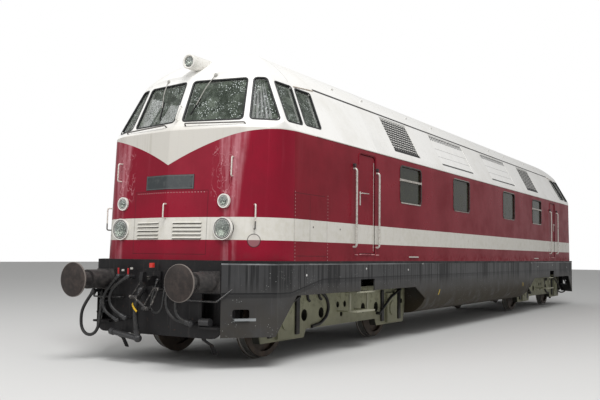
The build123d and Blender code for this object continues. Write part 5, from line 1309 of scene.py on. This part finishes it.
# Two rods, the bowed pipe and its two hangers: route, radius, place across and corner radius
for route, radius, y, corner in [
    ([(2.290, 0.460), (1.850, 0.668), (1.430, 0.825)], 0.021, rod_y, 0.060),
    ([(-1.200, 0.440), (-1.650, 0.690), (-2.050, 0.815)], 0.021, rod_y, 0.060),
    ([(0.710, 0.850), (0.560, 0.770), (0.490, 0.630), (0.560, 0.490), (0.745, 0.400), (1.000, 0.372)],
     0.024, pipe_y, 0.060),
    ([(1.130, 0.840), (1.110, 0.765), (1.060, 0.740)], 0.020, pipe_y, 0.020),
    ([(0.800, 0.845), (0.775, 0.780), (0.720, 0.750)], 0.020, pipe_y, 0.020),
]:
    path = bent([(x + bogie_middle, y, z + rail_top) for x, z in route], corner)
    linings.append(carried(path, round_section(radius, 12), outward))
for end, bogie in ((1, "1"), (-1, "2")):
    grids = [grid for lining in linings for grid in tubes(lining, [(end, 1, 1), (end, -1, 1)])]
    dress(surface(f"guide_linings_{bogie}", *grids), black_steel, body=f"bogie_{bogie}")

# Wheelsets
# Forged wheels with bright treads, their faces brown with brake dust, on plain axles.
wheel = Finish("wheel_finish")
axle_height = 0.5
wheel_x = abs(abs(wheel.x) - bogie_middle) - axle_reach
from_axle = distance(wheel_x, wheel.z - (axle_height + rail_top))
wheel_y = abs(wheel.y)
tread = step(from_axle, 0.485, 0.495) * step(wheel_y, 0.70, 0.71) * (1 - step(wheel_y, 0.79, 0.80))
brake_dust = step(wheel.noise(7, 6, 0.65), 0.3, 0.7)
wheel.set(
    Base_Color=mix(tread, mix(brake_dust, (62, 54, 48), (92, 78, 66)), (168, 166, 162)),
    Roughness=0.62 - 0.36 * tread,
    Metallic=0.2 + 0.7 * tread,
    Normal=wheel.bump(wheel.noise(40, 5, 0.6), 0.3, 0.001),
)
for wheelset in ("1", "2", "3", "4"):
    for name, member in [("wheel_pair", "wheels"), ("axle_shaft", "axle")]:
        body = f"wheelset_{wheelset}"
        recoat(f"{name}_{wheelset}", wheel, "wheel_steel", f"{member}_{wheelset}", body=body)

# Cab floors, desks and engines
# Painted steel and board: linoleum on the floor, grey-green walls and desks, and an engine room
# of which only a block shows through the windows.
lining = weathered(
    "cab_lining", (4, 5, 0.6), (0.35, 0.7), (98, 106, 98), (76, 82, 76), (0.55, 0.15),
    (90, 3, 0.5, 0.2, 0.0008),
)
engine_paint = weathered(
    "engine_paint", (5, 6, 0.65), (0.4, 0.7), (92, 100, 96), (48, 48, 44), (0.5, -0.15),
)
recoat("floor_boards", lining, "cab_lining", "cab_floors")
recoat("desk_consoles", lining, "cab_lining", "driving_desks")
recoat("seat_columns", black_steel, "frame_black", "seat_stands")
recoat("engine_blocks", engine_paint, "engine_paint", "engines")

# Cab seats
# Foam cushions under brown leathercloth, crowned in the middle and drawn in at their piped edges,
# on turned columns.
leather = weathered("seat_leather", (7, 5, 0.6), (0.45, 0.75), (74, 56, 44), (104, 82, 66), (0.45, 0.2))
cell_edges = {"feature": "DISTANCE_TO_EDGE"}
grain = leather.node("ShaderNodeTexVoronoi", cell_edges, Vector=leather.place, Scale=260.0)
leather.set(Normal=leather.bump(grain, 0.4, 0.0008))


def bowed(value, power):
    """The sign of the value times its size raised to a power."""
    return np.sign(value) * np.abs(value) ** power


def cushion(middle, half, square=0.32, crown=0.55):
    """A closed crowned form. Each half size is scaled by powers of the cosines and sines of two
    angles, so that the plan is nearly square and the top and bottom are bowed."""
    turn = np.linspace(0, 2 * np.pi, 48, endpoint=False)[:, None]
    tilt = np.linspace(-np.pi / 2, np.pi / 2, 25)[None, :]
    around = bowed(np.cos(tilt), crown)
    up = bowed(np.sin(tilt), crown) + 0 * turn
    across = [around * bowed(along, square) for along in (np.cos(turn), np.sin(turn))]
    return np.stack([*across, up], axis=-1) * half + middle


seat_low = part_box("cab_seats")[0][2]
for flip, seat_name in zip(four_quarters, quarter_names):
    for part, middle, half in [
        ("seat", (7.650, 0.620, seat_low + 0.055), (0.228, 0.228, 0.054)),
        ("back", (7.376, 0.620, seat_low + 0.335), (0.043, 0.226, 0.332)),
    ]:
        form = cushion(middle, half) * flip
        pad = surface(f"{part}_cushion_{seat_name}", (form, True, False, False), angle=180)
        dress(pad, leather, ["cab_seats"])

# Floor and light
# A plain pale floor, a soft sky and two broad lamps from the side that the photograph shows.
floor_reach = 90
floor_corners = [(x * floor_reach, y * floor_reach, 0) for x, y in ((-1, -1), (1, -1), (1, 1), (-1, 1))]
floor_mesh = bpy.data.meshes.new("floor")
floor_mesh.from_pydata(floor_corners, [], [range(4)])
floor = added("floor", floor_mesh)
floor_paint = Finish("floor_paint")
floor_paint.shader.inputs["Base Color"].default_value = (0.62, 0.62, 0.61, 1)
floor_paint.set(Roughness=0.9)
floor_mesh.materials.append(floor_paint.material)
world = bpy.data.worlds.new("studio")
bpy.context.scene.world = world
world.use_nodes = True
wires = world.node_tree
background = wires.nodes["Background"]
rays = wires.nodes.new("ShaderNodeLightPath")
seen = wires.nodes.new("ShaderNodeMath")
seen.operation = "MAXIMUM"
wires.links.new(rays.outputs["Is Camera Ray"], seen.inputs[0])
wires.links.new(rays.outputs["Is Transmission Ray"], seen.inputs[1])
strength = wires.nodes.new("ShaderNodeMapRange")
strength.inputs["To Min"].default_value = 0.48
wires.links.new(seen.outputs[0], strength.inputs["Value"])
wires.links.new(strength.outputs["Result"], background.inputs["Strength"])
background.inputs["Color"].default_value = (1, 1, 1, 1)
for name, place, target, size, watts in [
    ("key", (16, 9, 20), (5, 0, 2), 10, 3900),
    ("fill", (22, -6, 9), (8, 0, 2), 9, 700),
]:
    lamp_data = bpy.data.lights.new(name, "AREA")
    lamp_data.size = size
    lamp_data.energy = watts
    lamp = added(name, lamp_data)
    lamp.location = place
    lamp.rotation_euler = (Vector(target) - Vector(place)).to_track_quat("-Z", "Y").to_euler()
